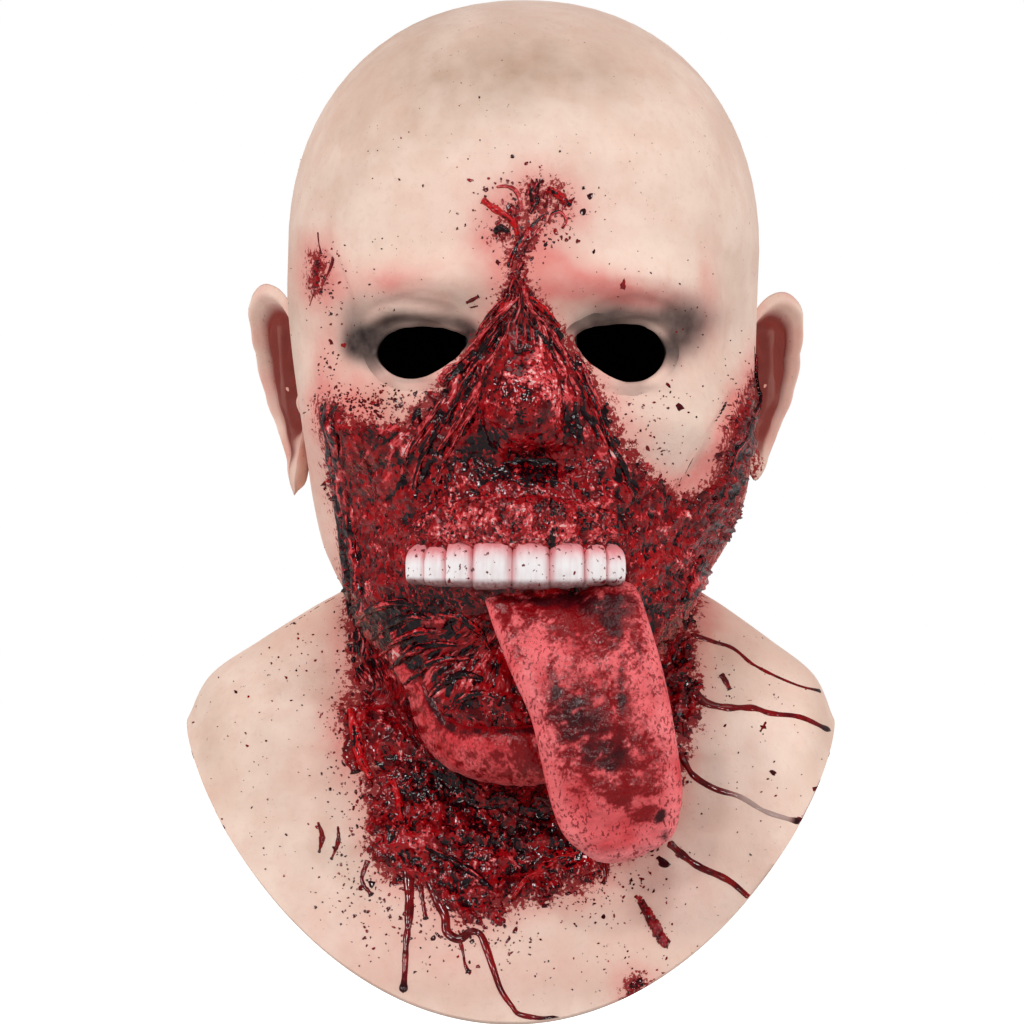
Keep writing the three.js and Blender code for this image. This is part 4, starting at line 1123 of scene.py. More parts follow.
def add_eye_rim(shape, side):
    """A lid rim round an eye hole: it leaves the skin, rolls over the edge of the hole and ends on the lining."""
    degrees = np.linspace(0, 360, 120, endpoint=False)
    # Columns: how far outside the hole's edge, and height over the skin, in mm
    profile = np.array([
        (6.5, -0.5), (5.4, -0.12), (4.2, 0.16), (3.0, 0.34), (1.9, 0.42), (1.0, 0.34), (0.35, 0.05),
        (0.05, -0.45), (0.0, -1.1), (0.1, -1.9), (0.5, -2.5), (1.6, -2.9), (4.5, -2.6), (7.5, -1.4),
    ])
    profile = along(profile, np.linspace(0, len(profile) - 1, 34)).T
    grow, degree = np.meshgrid(profile[:, 0], degrees, indexing="ij")
    x, z = eye_outline(side, degree, grow)
    angle, place = behind_relief(x, z)
    point, _ = skin(angle, place, profile[:, 1][:, None] * np.ones(len(degrees)))
    masks = skin_masks(point)
    over = (np.arange(len(profile)) / (len(profile) - 1))[:, None] * np.ones(len(degrees))
    # A painted highlight along the crest of the rim, the socket's painted shade carried on up to the hole's edge, and
    # near black inside the hole as painted shade.
    masks["pale"] = clip01(masks["pale"] + 0.2 * bell(grow - 0.9, 0.9) * (over < 0.5))
    masks["soot"] = np.maximum(masks["soot"], masks["soot"][np.argmin(np.abs(profile[:17, 0] - 2.5))])
    masks["dark"] = ease(over, 0.5, 0.62)
    shape.grid(point, wrap=True, flip=side > 0, **masks)


def behind_relief(x, z):
    """The angle and place whose point with relief lies behind front-view millimetres."""
    shift_x, shift_z = np.zeros(np.shape(x)), np.zeros(np.shape(x))
    for _ in range(5):
        angle, place = behind(x + shift_x, z + shift_z)
        point = relief_skin(angle, place)
        shift_x = shift_x + 0.8 * (x - point[..., 0])
        shift_z = shift_z + 0.8 * (z - point[..., 2])
    return angle, place


def make_ear(name):
    """A bowl on a polar grid with a rolled rim: reach runs out from the bowl's middle over the rim and back behind.
    The folds inside are Gaussian ridges in the ear's own plane."""
    side, down, tall, flare, spread = EARS[name]
    height = EAR_HEIGHT * tall
    middle = WALL - EAR_DROP * down - height / 2
    degrees = np.linspace(0, 360, 132, endpoint=False)
    reach_out = np.linspace(0.02, 1, 46)
    reach_back = np.linspace(1, 0.04, 22)

    def folds(back, up, reach, degree):
        """The height of the rim, the groove in it, the folds and the hollows, in mm."""
        rim_turn = np.cos(np.radians(degree - 40))
        rim = (0.55 + 0.45 * rim_turn) * bell(reach - 0.9, 0.085) * 3.4
        groove = -2.2 * (0.5 + 0.5 * rim_turn) * bell(reach - 0.74, 0.1)
        inner, _ = to_line(back, up, [(16, 22), (17, 8), (16, -4), (11, -14), (5, -19)])
        crest = 3.0 * bell(inner, 3.4)
        fork, _ = to_line(back, up, [(7, 19), (12, 13), (17, 6)])
        crest = np.maximum(crest, 2.0 * bell(fork, 3.0))
        bowl = -7.5 * bell(back - 6, 9.5, up + 4, 13)
        hollow = -3.0 * bell(back - 14, 12, up - 16, 14)
        tragus = 5.0 * bell(back + 1, 4.0, up + 5, 5.5)
        lobe = 2.2 * bell(back - 7, 8, up + 30, 8)
        crus = 2.2 * bell(to_line(back, up, [(0, 6), (5, 4), (10, 2)])[0], 2.4)
        return rim + groove + crest + bowl + hollow + tragus + lobe + crus

    def place_of(reach, degree, lift):
        """Points of the ear at a lift over its plane, or over its folds."""
        far = outline_reach(EAR_OUTLINE, degree) * height * reach / 2
        up = far * np.sin(np.radians(degree))
        back = 0.19 * EAR_HEIGHT + far * np.cos(np.radians(degree))
        if lift is None:
            lift = folds(back, up * 39 / (height / 2), reach, degree)
            lift = lift + 0.35 * noise(back / 6, up / 6, 5)
        turn = np.radians(flare + spread * up * 2 / height)
        x = HEAD_WIDTH / 2 - EAR_SINK + back * np.sin(turn) + lift * np.cos(turn)
        return np.stack([side * x, back * np.cos(turn) - lift * np.sin(turn), middle + up], -1), lift, back, up

    reach, degree = np.meshgrid(reach_out, degrees, indexing="ij")
    face, lift, back, up = place_of(reach, degree, None)
    rear_reach, rear_degree = np.meshgrid(reach_back, degrees, indexing="ij")
    edge = lift[-1][None, :]
    rear_lift = edge * rear_reach ** 3 - EAR_THICK * (1.3 - 0.6 * rear_reach) * ease(1 - rear_reach, 0, 0.12)
    rear_lift = rear_lift - 6 * (1 - rear_reach ** 2) * 0.8
    rear, _, _, _ = place_of(rear_reach, rear_degree, rear_lift)
    points = np.concatenate([face, rear[1:]])
    # The masks below that follow the depth of the hollows give the ear its red inside and painted shade in those
    # hollows; the darkest of them is painted shade in the deepest hollows only.
    hollow = clip01(-lift / 7)
    none = np.zeros(rear[1:].shape[:2])
    red = np.concatenate([hollow, none])
    gory = (side > 0) * ease(-points[..., 2], 128, 160) * ease(-points[..., 1], -16, 2)
    masks = {
        "haze": clip01(0.5 * red + gory),
        "bruise": clip01(1.2 * red + np.concatenate([ease(0.84 - reach, 0, 0.2), none]) * 0.9),
        "blush": clip01(0.25 + red * 0.8 + 0.25 * noise(points[..., 1] / 9, points[..., 2] / 9, 3)),
        "dirt": 0.25 * clip01(0.5 + noise(points[..., 1] / 14, points[..., 2] / 14, 6)),
        "pale": 0.3 * np.concatenate([bell(reach - 0.92, 0.06), none]),
        "fleck": np.full(red.shape, 0.9),
        "soot": 0.5 * ease(red, 0.6, 1.0),
    }
    shape = Shape().grid(points, wrap=True, flip=side > 0, **masks)
    shape.cap(face[0], flip=side < 0, haze=masks["haze"][0, 0], blush=0.6)
    shape.cap(rear[-1], flip=side > 0)
    return shape.piece(name + "_skin", skin_material, "skin", name)


def tooth_frame(index):
    """Where a tooth stands: its seat on the skin, its directions across and out, its edge, height and half width."""
    wide, tall = TEETH[index]
    before = TEETH[:index, 0].sum()
    x = ARCH_SHIFT + ARCH_WIDTH * (before + wide / 2 - 0.5)
    height = TOOTH_HEIGHT * tall
    edge = TEETH_Z + 1.6 * (x / ARCH_WIDTH) ** 2 * TOOTH_HEIGHT * 0.25
    width = wide * ARCH_WIDTH
    xs = np.array([x, x - width / 2, x + width / 2])
    angle, place = behind(xs, np.full(3, edge + height / 2))
    (seat, left, right), _ = skin(angle, place, fine=False)
    across = (right - left) * (1, 1, 0)
    across = across / np.linalg.norm(across)
    out = np.array([across[1], -across[0], 0])
    return seat, across, out, edge, height, width / 2 / max(across[0], 0.3) + 0.05


def make_tooth(index):
    """A tooth as rings of a superellipse from root to edge: full at the belly, its edge bevelled and worn."""
    seat, across, out, edge, height, half = tooth_frame(index)
    # Columns: down as a share of the height, wide, deep, and how far forward in mm
    sections = np.array([
        (-0.12, 0.6, 0.45, -1.6), (0.0, 0.96, 0.66, -0.9), (0.1, 1.08, 0.84, -0.3), (0.3, 1.14, 0.98, 0.2),
        (0.6, 1.17, 1.0, 0.25), (0.84, 1.19, 0.97, 0.0), (0.93, 1.18, 0.88, -0.4), (0.975, 1.14, 0.74, -1.0),
        (1.0, 1.0, 0.5, -1.5),
    ])
    rows = along(sections, np.linspace(0, len(sections) - 1, 30))
    turn = np.linspace(0, 2 * math.pi, 36, endpoint=False)
    down, wide, deep, ahead = (row[:, None] for row in rows)
    power = 2 / 2.6
    c, s = bent(np.cos(turn), power), bent(np.sin(turn), power)
    lobes = 1 + 0.035 * np.cos(3 * math.pi * c) * (s > 0)
    side = c * half * wide
    depth = s * (TOOTH_DEPTH / 2) * deep * lobes + 1.5 + ahead * (s > 0)
    depth = depth + 0.22 * noise(side / 2.2 + index * 7, down * 5, 2) * (s > 0)
    z = edge + height * (1 - down) + 0.5 * noise(side / 3 + index * 5, 0 * side, 3) * ease(down, 0.8, 1)
    z = np.broadcast_to(z, side.shape)
    points = seat * (1, 1, 0) + side[..., None] * across + depth[..., None] * out
    points = points + z[..., None] * (0, 0, 1)
    down = np.broadcast_to(down, side.shape)
    outermost = index in (0, 1, 6, 7)
    masks = {
        # Pink towards the root, the gum's paint, and at the sides, painted shade in the gaps between teeth.
        "rosy": clip01(1.15 * ease(-down, -0.5, 0.04) + 0.5 * ease(np.abs(side) / half, 0.72, 1.1)),
        "worn": ease(down, 0.78, 0.9),
        "speck": clip01(0.2 + 0.8 * ease(-down, -0.4, 0.0) + ease(down, 0.78, 0.9) + 0.5 * outermost),
    }
    shape = Shape().grid(points, wrap=True, flip=True, **masks)
    shape.cap(points[0], flip=True, rosy=1.0)
    shape.cap(points[-1], worn=1.0)
    name = f"tooth_{index + 1}"
    return shape.piece(name + "_crown", tooth_material, "teeth", name)


def on_skin(x, z, height):
    """Points at a height over the skin behind front-view millimetres."""
    angle, place = behind(x, z)
    return skin(angle, place, height, fine=False)[0]


def make_gum():
    """The gum: a band over the roots with a bulge for each root and a scallop over each tooth's neck."""
    share = np.linspace(0, 1, 190)
    over = np.linspace(-1, 1, 64)
    over, share = np.meshgrid(over, share, indexing="ij")
    base = TEETH_Z + TOOTH_HEIGHT - GUM_OVERLAP + GUM_HEIGHT / 2
    path_x = ARCH_SHIFT + ARCH_WIDTH * 1.04 * (share - 0.5)
    path_z = base - 10 * (share - 0.5) ** 2
    narrow = 1 - 0.45 * np.abs(2 * share - 1) ** 2.5
    edges = np.concatenate([[0], np.cumsum(TEETH[:, 0])])
    middles = (edges[1:] + edges[:-1]) / 2
    tooth_share = (path_x - ARCH_SHIFT) / ARCH_WIDTH + 0.5
    root = 0
    for middle, wide in zip(middles, TEETH[:, 0]):
        root = root + bell(tooth_share - middle, (wide * 0.36))
    scallop = 2.6 * clip01(root) * ease(-over, 0.3, 1.0)
    x = path_x
    z = path_z + over * GUM_HEIGHT / 2 * narrow + scallop
    u_like, v_like = x / FACE_STEP, z / FACE_STEP
    grain = clumps(u_like / 4, v_like / 5, 3, 3)
    dome = np.sqrt(np.maximum(1 - np.abs(over) ** 3.2, 0))
    height = GUM_THICK * narrow * dome * (0.6 + 0.4 * root) + 0.8 * grain * dome - 0.9 * (1 - dome)
    points = on_skin(x, z, height)
    u, v = seen(points)
    patches = clumps(u / 10, v / 14, 6, 4, 0.7)
    pink = 0.42 + 0.5 * root * ease(-over, -0.5, 0.6) + 0.6 * patches + 0.3 * grain
    pink = clip01(pink - 0.6 * ease(over, -0.1, 1))
    drop = blob(u, v, (552, 545), (5, 16)) + blob(u, v, (456, 566), (6, 22), 12) * 0.6
    # Dark crumbs towards its top, a drop of blood, and painted shade between the root bulges.
    dark = clip01(0.8 * ease(-patches, 0.35, 0.9) * ease(over, -0.6, 0.6) + 0.3 * (1 - root) + 0.9 * drop)
    shape = Shape().grid(points, flip=True, pink=pink, dark=dark, fresh=0.15)
    return shape.piece("upper_gum_flesh", gore_material, "gum", "upper_gum")


def make_lip():
    """The lower lip: a half-round pad carried along its loop, plump below and thin at the corner, with a creased
    skin and a dark wet line where it meets the flesh inside."""
    share = np.linspace(0, 1, 150)
    turn = np.linspace(0, math.pi, 40)
    turn, share = np.meshgrid(turn, share, indexing="ij")
    last = len(LIP_PATH) - 1
    full = along(LIP_PATH, share * last)[2]
    ahead_share = np.minimum(share + 0.01, 1)
    back_share = np.maximum(share - 0.01, 0)

    def path(at):
        """The lip's middle line in front-view millimetres."""
        a, d, _ = along(LIP_PATH, at * last)
        return np.stack([ARCH_SHIFT + LIP_SPAN * a, TEETH_Z - 8 - LIP_DROP * d], -1)

    ahead = path(ahead_share) - path(back_share)
    ahead = unit(ahead)
    here = path(share)
    half = LIP_WIDTH / 2 * full
    offset = np.cos(turn) * half
    x = here[..., 0] - ahead[..., 1] * offset
    z = here[..., 1] + ahead[..., 0] * offset
    crease = creases(share * 46, turn * 2.0, 4, 2)
    height = np.sin(turn) ** 0.8 * LIP_THICK * full * 0.98 - 0.8
    height = height + np.sin(turn) * (0.5 * noise(share * 60, turn * 2, 6) + 0.5 * crease - 0.3)
    points = on_skin(x, z, height)
    u, v = seen(points)
    inner = ease(-turn, -0.95, -0.35)
    stains = clumps(u / 9, v / 9, 8, 4, 0.75)
    stain = clip01(0.9 * inner + 0.4 + ease(stains, 0.1, 1.0) * 0.7 + 0.9 * blob(u, v, (524, 748), (8, 22), -30))
    dark = clip01(0.9 * ease(-np.abs(turn - 0.55), -0.3, -0.1) * (0.6 + 0.5 * stains))
    pale = clip01(ease(turn, 1.4, 2.6) * 0.7)
    speck = clip01(0.5 + 0.6 * stains)
    shape = Shape().grid(points, stain=stain, dark=dark, pale=pale, speck=speck)
    return shape.piece("lower_lip_flesh", tongue_material, "lip", "lower_lip")


def tongue_points(share, turn, swell):
    """The tongue's surface: an oval section carried along its drooping middle line, its top grooved."""
    last = len(TONGUE_SECTIONS) - 1

    def centre(at):
        """The tongue's middle line."""
        across, out, down, _, _ = along(TONGUE_SECTIONS, at * last)
        return np.stack([
            TONGUE_ROOT[0] + across * TONGUE_SWAY,
            TONGUE_ROOT[1] - out * TONGUE_REACH,
            TEETH_Z - down * TONGUE_DROP,
        ], -1)

    wide, thick = along(TONGUE_SECTIONS, share * last)[3:5]
    ahead = centre(np.minimum(share + 0.02, 1)) - centre(np.maximum(share - 0.02, 0))
    ahead = unit(ahead)
    across = np.array([1.0, 0, 0]) - ahead * ahead[..., :1]
    across = unit(across)
    top = np.cross(ahead, across)
    top = unit(top)
    cosine, sine = np.cos(turn), np.sin(turn)
    bulge = bent(sine, 0.86)
    side = cosine * TONGUE_WIDTH / 2 * wide
    up = bulge * TONGUE_THICK / 2 * thick + swell
    return centre(share) + across * side[..., None] + top * up[..., None]


def make_tongue():
    """The tongue: its swept oval with a soft median groove, shallow cross creases and a pebbled top."""
    share = 1 - np.linspace(1, 0, 190) ** 1.15
    share[-1] = 1
    turn = np.linspace(0, 2 * math.pi, 104, endpoint=False)
    turn, share = np.meshgrid(turn, share)
    top = ease(np.sin(turn), 0.0, 0.6)
    groove = bell(np.cos(turn) - 0.1 - 0.06 * np.sin(9 * share), 0.13) * ease(-share, -0.93, -0.6)
    groove2 = bell(np.cos(turn) + 0.42, 0.2) * ease(-share, -0.6, -0.2)
    edge_curl = bell(np.abs(np.cos(turn)) - 0.86, 0.16)
    u0, v0 = seen(tongue_points(share, turn, 0 * turn))
    pebbles = clumps(u0 / 6, v0 / 6, 4, 3, 0.6)
    waves = noise(u0 / 26, v0 / 22, 6)
    root = ease(-share, -0.36, -0.05)
    torn = creases(u0 / 11 + 0.4 * pebbles, v0 / 22, 2, 3) - 0.45
    swell = top * (-1.7 * groove - 0.8 * groove2 + 0.6 * edge_curl + 0.28 * pebbles + 0.6 * waves)
    swell = swell + top * root * 1.5 * torn
    tip = bell(share - 0.86, 0.05) * bell(np.cos(turn) - 0.35, 0.3)
    swell = swell - 0.6 * tip * top
    fade = ease(1 - share, 0, 0.05)
    points = tongue_points(share, turn, swell * fade)
    u, v = seen(points)
    front = top * ease(-points[..., 1], 60, 90)
    stains = [
        (545, 608, 66, 24, 0, 1.5), (600, 622, 36, 28, 0, 1.3), (551, 667, 4, 14, 0, 1.2),
        (590, 700, 48, 36, 0, 1.0), (607, 748, 46, 34, 0, 1.1), (625, 790, 36, 16, 10, 0.85),
        (608, 800, 24, 10, 0, 0.4), (640, 815, 16, 12, 0, 0.85), (621, 700, 4, 46, 0, 0.7),
        (648, 770, 12, 26, 0, 0.5), (512, 640, 10, 26, -20, 0.7), (640, 640, 10, 34, -10, 0.5),
        (560, 740, 16, 40, -10, 0.3), (575, 800, 14, 16, 0, 0.3),
    ]
    murk = [
        (576, 714, 32, 28, 0, 0.8), (608, 752, 34, 20, 0, 0.75), (606, 768, 10, 8, 0, 0.5),
        (573, 713, 10, 8, 0, 0.4), (556, 691, 4.5, 7, 0, 1.0), (622, 699, 4, 7, 0, 1.0),
        (621, 690, 2.5, 40, 0, 0.7), (660, 817, 5, 9, 30, 1.0), (664, 835, 5, 6, 0, 1.0),
        (600, 604, 44, 12, 0, 0.9), (612, 628, 12, 22, -20, 0.8), (545, 600, 50, 6, 0, 0.9),
        (526, 636, 5, 5, 0, 0.8), (640, 655, 3, 20, -8, 0.4), (588, 640, 10, 5, 20, 0.6),
    ]
    blots = clumps(u / 12, v / 9, 9, 4, 0.7)
    stain = clip01(spots(u, v, stains) * (0.85 + 0.5 * blots)) * front
    dark = clip01(spots(u, v, murk) * (0.85 + 0.4 * blots)) * front
    # Paler along the curled edges, and painted light on the tip, which curves down away from the lights.
    pale = clip01(0.25 + 0.5 * edge_curl * top + 0.3 * waves + 1.0 * ease(share, 0.76, 0.9)) * (1 - stain)
    speck = clip01(0.4 + 0.6 * blots + 0.5 * stain + 0.4 * edge_curl)
    shape = Shape().grid(points, wrap=True, stain=stain, dark=dark, pale=pale, speck=speck)
    shape.cap(points[0], pale=0.5, speck=0.3)
    shape.cap(points[-1], flip=True, pale=0.5, speck=0.3)
    return shape.piece("tongue_flesh", tongue_material, "tongue", "tongue")


# Runs of blood. Columns: line in view places, width at its start, middle and end in mm, clear share at its middle
RUNS = [
    ([(406, 862), (409, 885), (409, 915), (406, 945), (405, 970), (403, 993)], (4.6, 2.6, 2.0), 0),
    ([(428, 872), (437, 898), (445, 916), (447, 932), (459, 939), (470, 932), (480, 934), (487, 950), (493, 968),
      (501, 990), (512, 1006), (519, 1014), (540, 1018), (560, 1019)], (4.0, 2.6, 1.6), 0),
    ([(459, 938), (463, 952), (465, 964), (469, 973)], (2.0, 1.0, 1.7), 0),
    ([(640, 900), (650, 918), (660, 934), (667, 944)], (2.6, 3.4, 2.6), 0),
    ([(690, 634), (712, 641), (732, 648), (753, 664), (776, 676), (800, 686), (826, 692)], (1.6, 1.2, 0.9), 0),
    ([(692, 690), (705, 703), (726, 709), (753, 710), (776, 714), (800, 717), (831, 731)], (3.6, 2.4, 1.3), 0),
    ([(680, 750), (686, 764), (694, 776), (714, 788), (740, 797), (764, 811), (784, 818), (801, 822)],
     (2.6, 1.9, 1.6), 1),
    ([(801, 822), (811, 826), (820, 832)], (1.5, 0.8, 0.7), 1),
    ([(668, 842), (684, 856), (700, 867), (728, 880), (752, 900), (774, 918)], (3.0, 2.4, 1.5), 0),
    ([(721, 674), (726, 682), (730, 690)], (2.4, 2.2, 1.4), 0),
    ([(766, 722), (763, 727), (760, 732)], (1.0, 0.8, 0.6), 0),
    ([(318, 822), (322, 836), (319, 853)], (1.0, 2.2, 0.7), 0),
    ([(338, 826), (338, 842), (331, 860)], (0.8, 1.8, 0.7), 0),
    ([(785, 346), (788, 362), (794, 388)], (1.0, 1.0, 1.2), 0),
    ([(330, 256), (327, 266), (323, 277), (318, 294)], (1.6, 1.0, 0.8), 0),
    ([(317, 232), (317, 242), (318, 254)], (0.3, 0.4, 0.8), 0),
    ([(313, 290), (311, 298), (309, 306)], (0.8, 0.6, 0.3), 0),
    ([(466, 303), (472, 300), (479, 296)], (1.2, 1.6, 1.0), 0), ([(470, 308), (478, 306)], (0.6, 0.8, 0.4), 0),
    ([(352, 735), (350, 752), (356, 774)], (5.0, 6.0, 2.4), 0),
    ([(368, 860), (362, 880), (372, 896)], (2.2, 1.4, 1.6), 0),
    ([(420, 885), (424, 908), (426, 920)], (2.6, 1.4, 1.6), 0),
    ([(600, 860), (606, 872), (603, 884)], (3.0, 2.0, 1.4), 0),
]


def tube_on_skin(line, widths, rise=0.416, bead=0.55, rows=70, base=None):
    """A low half-round carried along a line on the skin, with a bead at its end. Returns its points, and the share
    along it and the turn round it."""
    at = curve(line, rows)
    share = np.linspace(0, 1, rows)
    width = np.interp(share, [0, 0.5, 1], widths)
    width = width * (1 + 0.16 * noise(share * 14 + line[0][0], 0 * share, 3))
    bead = 1 + bead * bell(share - 0.965, 0.03)
    ends = np.sqrt(clip01(share / 0.02)) * np.sqrt(clip01((1 - share) / 0.018))
    half = width / 2 * bead * ends + 0.02
    ahead = np.gradient(at, axis=0)
    ahead = unit(ahead)
    aside = np.stack([-ahead[:, 1], ahead[:, 0]], 1)
    turn = np.linspace(0, math.pi, 11)
    offset = (np.cos(turn)[None] * half[:, None]) / FACE_STEP
    u = at[:, :1] + aside[:, :1] * offset
    v = at[:, 1:] + aside[:, 1:] * offset
    angle, place = under(u, v)
    high = np.sin(turn)[None] * (rise * half + 0.18)[:, None] - 0.16
    if base is not None:
        high = high + base(at[:, 0], at[:, 1])[:, None]
    points, _ = skin(angle, place, high)
    return points, share[:, None] + 0 * turn, 0 * share[:, None] + turn


def make_runs():
    """Runs of blood: low half-rounds with a bead at the end, one of them clear in its middle."""
    shape = Shape()
    for line, widths, clear in RUNS:
        points, share, _ = tube_on_skin(line, widths)
        see = clear * ease(share, 0.42, 0.6) * ease(1 - share, 0.04, 0.1)
        deep = clip01(0.25 + 0.75 * bell(share - 0.965, 0.05) + 0.35 * noise(share * 9, 0 * share, 5))
        shape.grid(points, dark=deep * (1 - see), clear=see)
    return shape.piece("blood_runs", blood_material, "flesh")


# Ropes of flesh. Columns: line in view places, width at its start, middle and end in mm, pink, dark, fresh
ROPES = [
    ([(482, 199), (492, 207), (503, 214), (513, 222), (518, 236)], (2.4, 2.8, 2.0), 0.1, 0.0, 1.0),
    ([(496, 187), (506, 186), (515, 190), (520, 200), (521, 212)], (1.0, 2.0, 1.4), 0.9, 0.0, 0.3),
    ([(548, 187), (556, 193), (564, 200), (571, 206)], (1.8, 3.2, 1.6), 0.1, 0.3, 0.9),
    ([(538, 183), (533, 193), (536, 203), (530, 214)], (2.2, 3.2, 1.4), 0.3, 0.9, 0.0),
    ([(545, 214), (536, 222), (528, 232), (519, 244), (512, 256), (509, 268)], (1.4, 2.4, 2.0), 0.35, 0.6, 0.3),
    ([(541, 226), (532, 237), (525, 247), (519, 262)], (0.8, 1.5, 1.0), 1.0, 0.0, 0.0),
    ([(548, 224), (552, 214), (560, 212), (566, 220), (562, 229)], (0.9, 1.4, 1.2), 0.9, 0.2, 0.2),
    ([(494, 233), (501, 228), (509, 232)], (2.4, 3.0, 2.0), 0.1, 1.0, 0.0),
    ([(523, 262), (517, 274), (511, 286), (507, 300), (500, 312)], (1.6, 2.2, 2.8), 0.4, 0.5, 0.5),
    ([(528, 268), (524, 282), (526, 296), (532, 310)], (0.9, 1.5, 1.6), 0.7, 0.2, 0.3),
    ([(519, 296), (506, 308), (494, 322), (482, 338), (468, 352)], (1.6, 2.8, 1.8), 1.0, 0.1, 0.0),
    ([(512, 304), (500, 322), (488, 342), (476, 362)], (1.2, 2.2, 1.6), 0.2, 0.8, 0.3),
    ([(508, 296), (496, 306), (484, 322), (476, 336)], (1.2, 1.8, 1.2), 0.9, 0.2, 0.2),
    ([(524, 300), (536, 314), (548, 330), (560, 348), (572, 368)], (1.4, 2.4, 1.6), 0.9, 0.1, 0.0),
    ([(529, 296), (545, 311), (560, 328)], (1.8, 2.8, 1.6), 0.1, 0.3, 1.0),
    ([(522, 304), (530, 322), (542, 342), (552, 360)], (1.0, 1.8, 1.2), 0.2, 0.9, 0.2),
    ([(500, 330), (484, 356), (468, 384), (452, 410), (436, 436)], (1.4, 2.8, 1.8), 0.2, 0.9, 0.2),
    ([(508, 334), (492, 362), (476, 392), (458, 424), (438, 452)], (1.2, 2.4, 1.6), 0.9, 0.1, 0.1),
    ([(480, 352), (462, 370), (446, 386)], (2.2, 3.2, 1.8), 0.1, 0.9, 0.2),
    ([(470, 358), (452, 368), (440, 380), (448, 386)], (1.2, 2.2, 1.4), 1.0, 0.1, 0.0),
    ([(446, 398), (428, 420), (412, 446), (404, 474)], (1.6, 2.6, 1.6), 0.8, 0.2, 0.2),
    ([(458, 400), (440, 428), (424, 456), (416, 490)], (1.4, 2.8, 1.8), 0.1, 0.9, 0.3),
    ([(478, 404), (460, 436), (444, 466), (432, 500)], (1.2, 2.0, 1.4), 0.7, 0.3, 0.2),
    ([(562, 346), (579, 376), (594, 404), (606, 430), (614, 452)], (1.4, 2.6, 2.2), 0.1, 0.7, 0.6),
    ([(574, 352), (589, 381), (602, 410)], (1.0, 1.8, 1.2), 0.9, 0.0, 0.0),
    ([(606, 434), (616, 454), (626, 476), (632, 502)], (1.8, 2.8, 1.8), 0.1, 0.9, 0.3),
    ([(596, 424), (606, 448), (612, 474)], (1.2, 1.8, 1.2), 0.8, 0.1, 0.3),
    ([(330, 404), (336, 440), (343, 480), (350, 520), (356, 560), (362, 600)], (2.4, 3.6, 2.4), 0.5, 0.5, 0.0),
    ([(324, 404), (331, 450), (338, 500), (345, 560), (351, 620)], (1.6, 2.6, 1.8), 0.3, 0.9, 0.0),
    ([(786, 354), (770, 384), (752, 416), (738, 446), (726, 474)], (1.6, 2.6, 1.6), 0.3, 0.8, 0.2),
    ([(702, 556), (690, 586), (678, 618)], (2.4, 4.4, 2.6), 0.6, 0.5, 0.4),
    ([(548, 502), (549, 520), (552, 540), (556, 560)], (1.4, 3.0, 2.4), 0.0, 1.0, 0.0),
    ([(362, 618), (378, 608), (398, 602), (420, 604)], (1.6, 3.4, 1.8), 0.2, 0.9, 0.1),
    ([(376, 638), (392, 624), (412, 616), (434, 616)], (1.8, 3.8, 1.8), 0.1, 1.0, 0.2),
    ([(384, 654), (400, 640), (420, 631), (444, 630)], (1.8, 3.6, 1.6), 0.5, 0.5, 0.3),
    ([(394, 668), (412, 653), (434, 644), (458, 644)], (1.8, 3.8, 1.6), 0.1, 1.0, 0.2),
    ([(408, 684), (426, 668), (448, 659), (470, 660)], (1.8, 3.4, 1.6), 0.4, 0.6, 0.4),
    ([(426, 700), (444, 684), (464, 676), (484, 680)], (1.6, 3.6, 1.6), 0.1, 1.0, 0.2),
    ([(446, 712), (462, 700), (482, 694), (500, 700)], (1.4, 3.0, 1.4), 0.3, 0.6, 0.5),
    ([(440, 612), (462, 616), (480, 630), (490, 650)], (1.8, 3.2, 1.6), 0.3, 0.6, 0.7),
    ([(352, 712), (356, 736), (362, 760), (372, 780)], (3.0, 5.0, 2.4), 0.0, 0.1, 1.0),
    ([(392, 780), (398, 800), (402, 826)], (2.4, 3.4, 1.8), 0.2, 0.3, 1.0),
    ([(424, 846), (446, 858), (470, 872), (492, 892)], (2.0, 3.0, 2.0), 0.2, 0.9, 0.2),
    ([(512, 900), (532, 878), (556, 862), (580, 852)], (1.6, 3.0, 1.6), 0.5, 0.2, 0.8),
]


def flesh_height(u, v):
    """The gore's height along a line, smoothed over a seventh of it."""
    height = np.maximum(GORE_SEAT + gore(u, v)[0], 0.2) * ease(cover(u, v, [FACE_GORE, NECK_GORE], 0, 9), -4, 6)
    window = np.hanning(11)
    return np.convolve(np.pad(height, 5, mode="edge"), window / window.sum(), mode="valid") - 0.2


def make_ropes():
    """Ropes of flesh: half-rounds that lie on the gore, striped along their length."""
    shape = Shape()
    for index, (line, widths, pink, dark, fresh) in enumerate(ROPES):
        points, share, turn = tube_on_skin(line, widths, 1.1, 0.0, 60, flesh_height)
        length = np.hypot(*np.diff(np.array(line, float), axis=0).T).sum()
        shape.grid(
            points, pink=0.6 * pink, dark=dark, fresh=fresh, strand=0.6,
            across=turn * 1.1 + 7 * index, along_it=share * length / 20,
        )
    return shape.piece("flesh_ropes", gore_material, "flesh")


# The eye holes in view places, roughly, which the drops keep off
EYES_SEEN = [
    [(368, 344), (392, 326), (440, 322), (474, 334), (462, 362), (414, 380), (380, 368)],
    [(574, 338), (600, 324), (648, 324), (672, 348), (660, 376), (624, 386), (590, 366)],
]
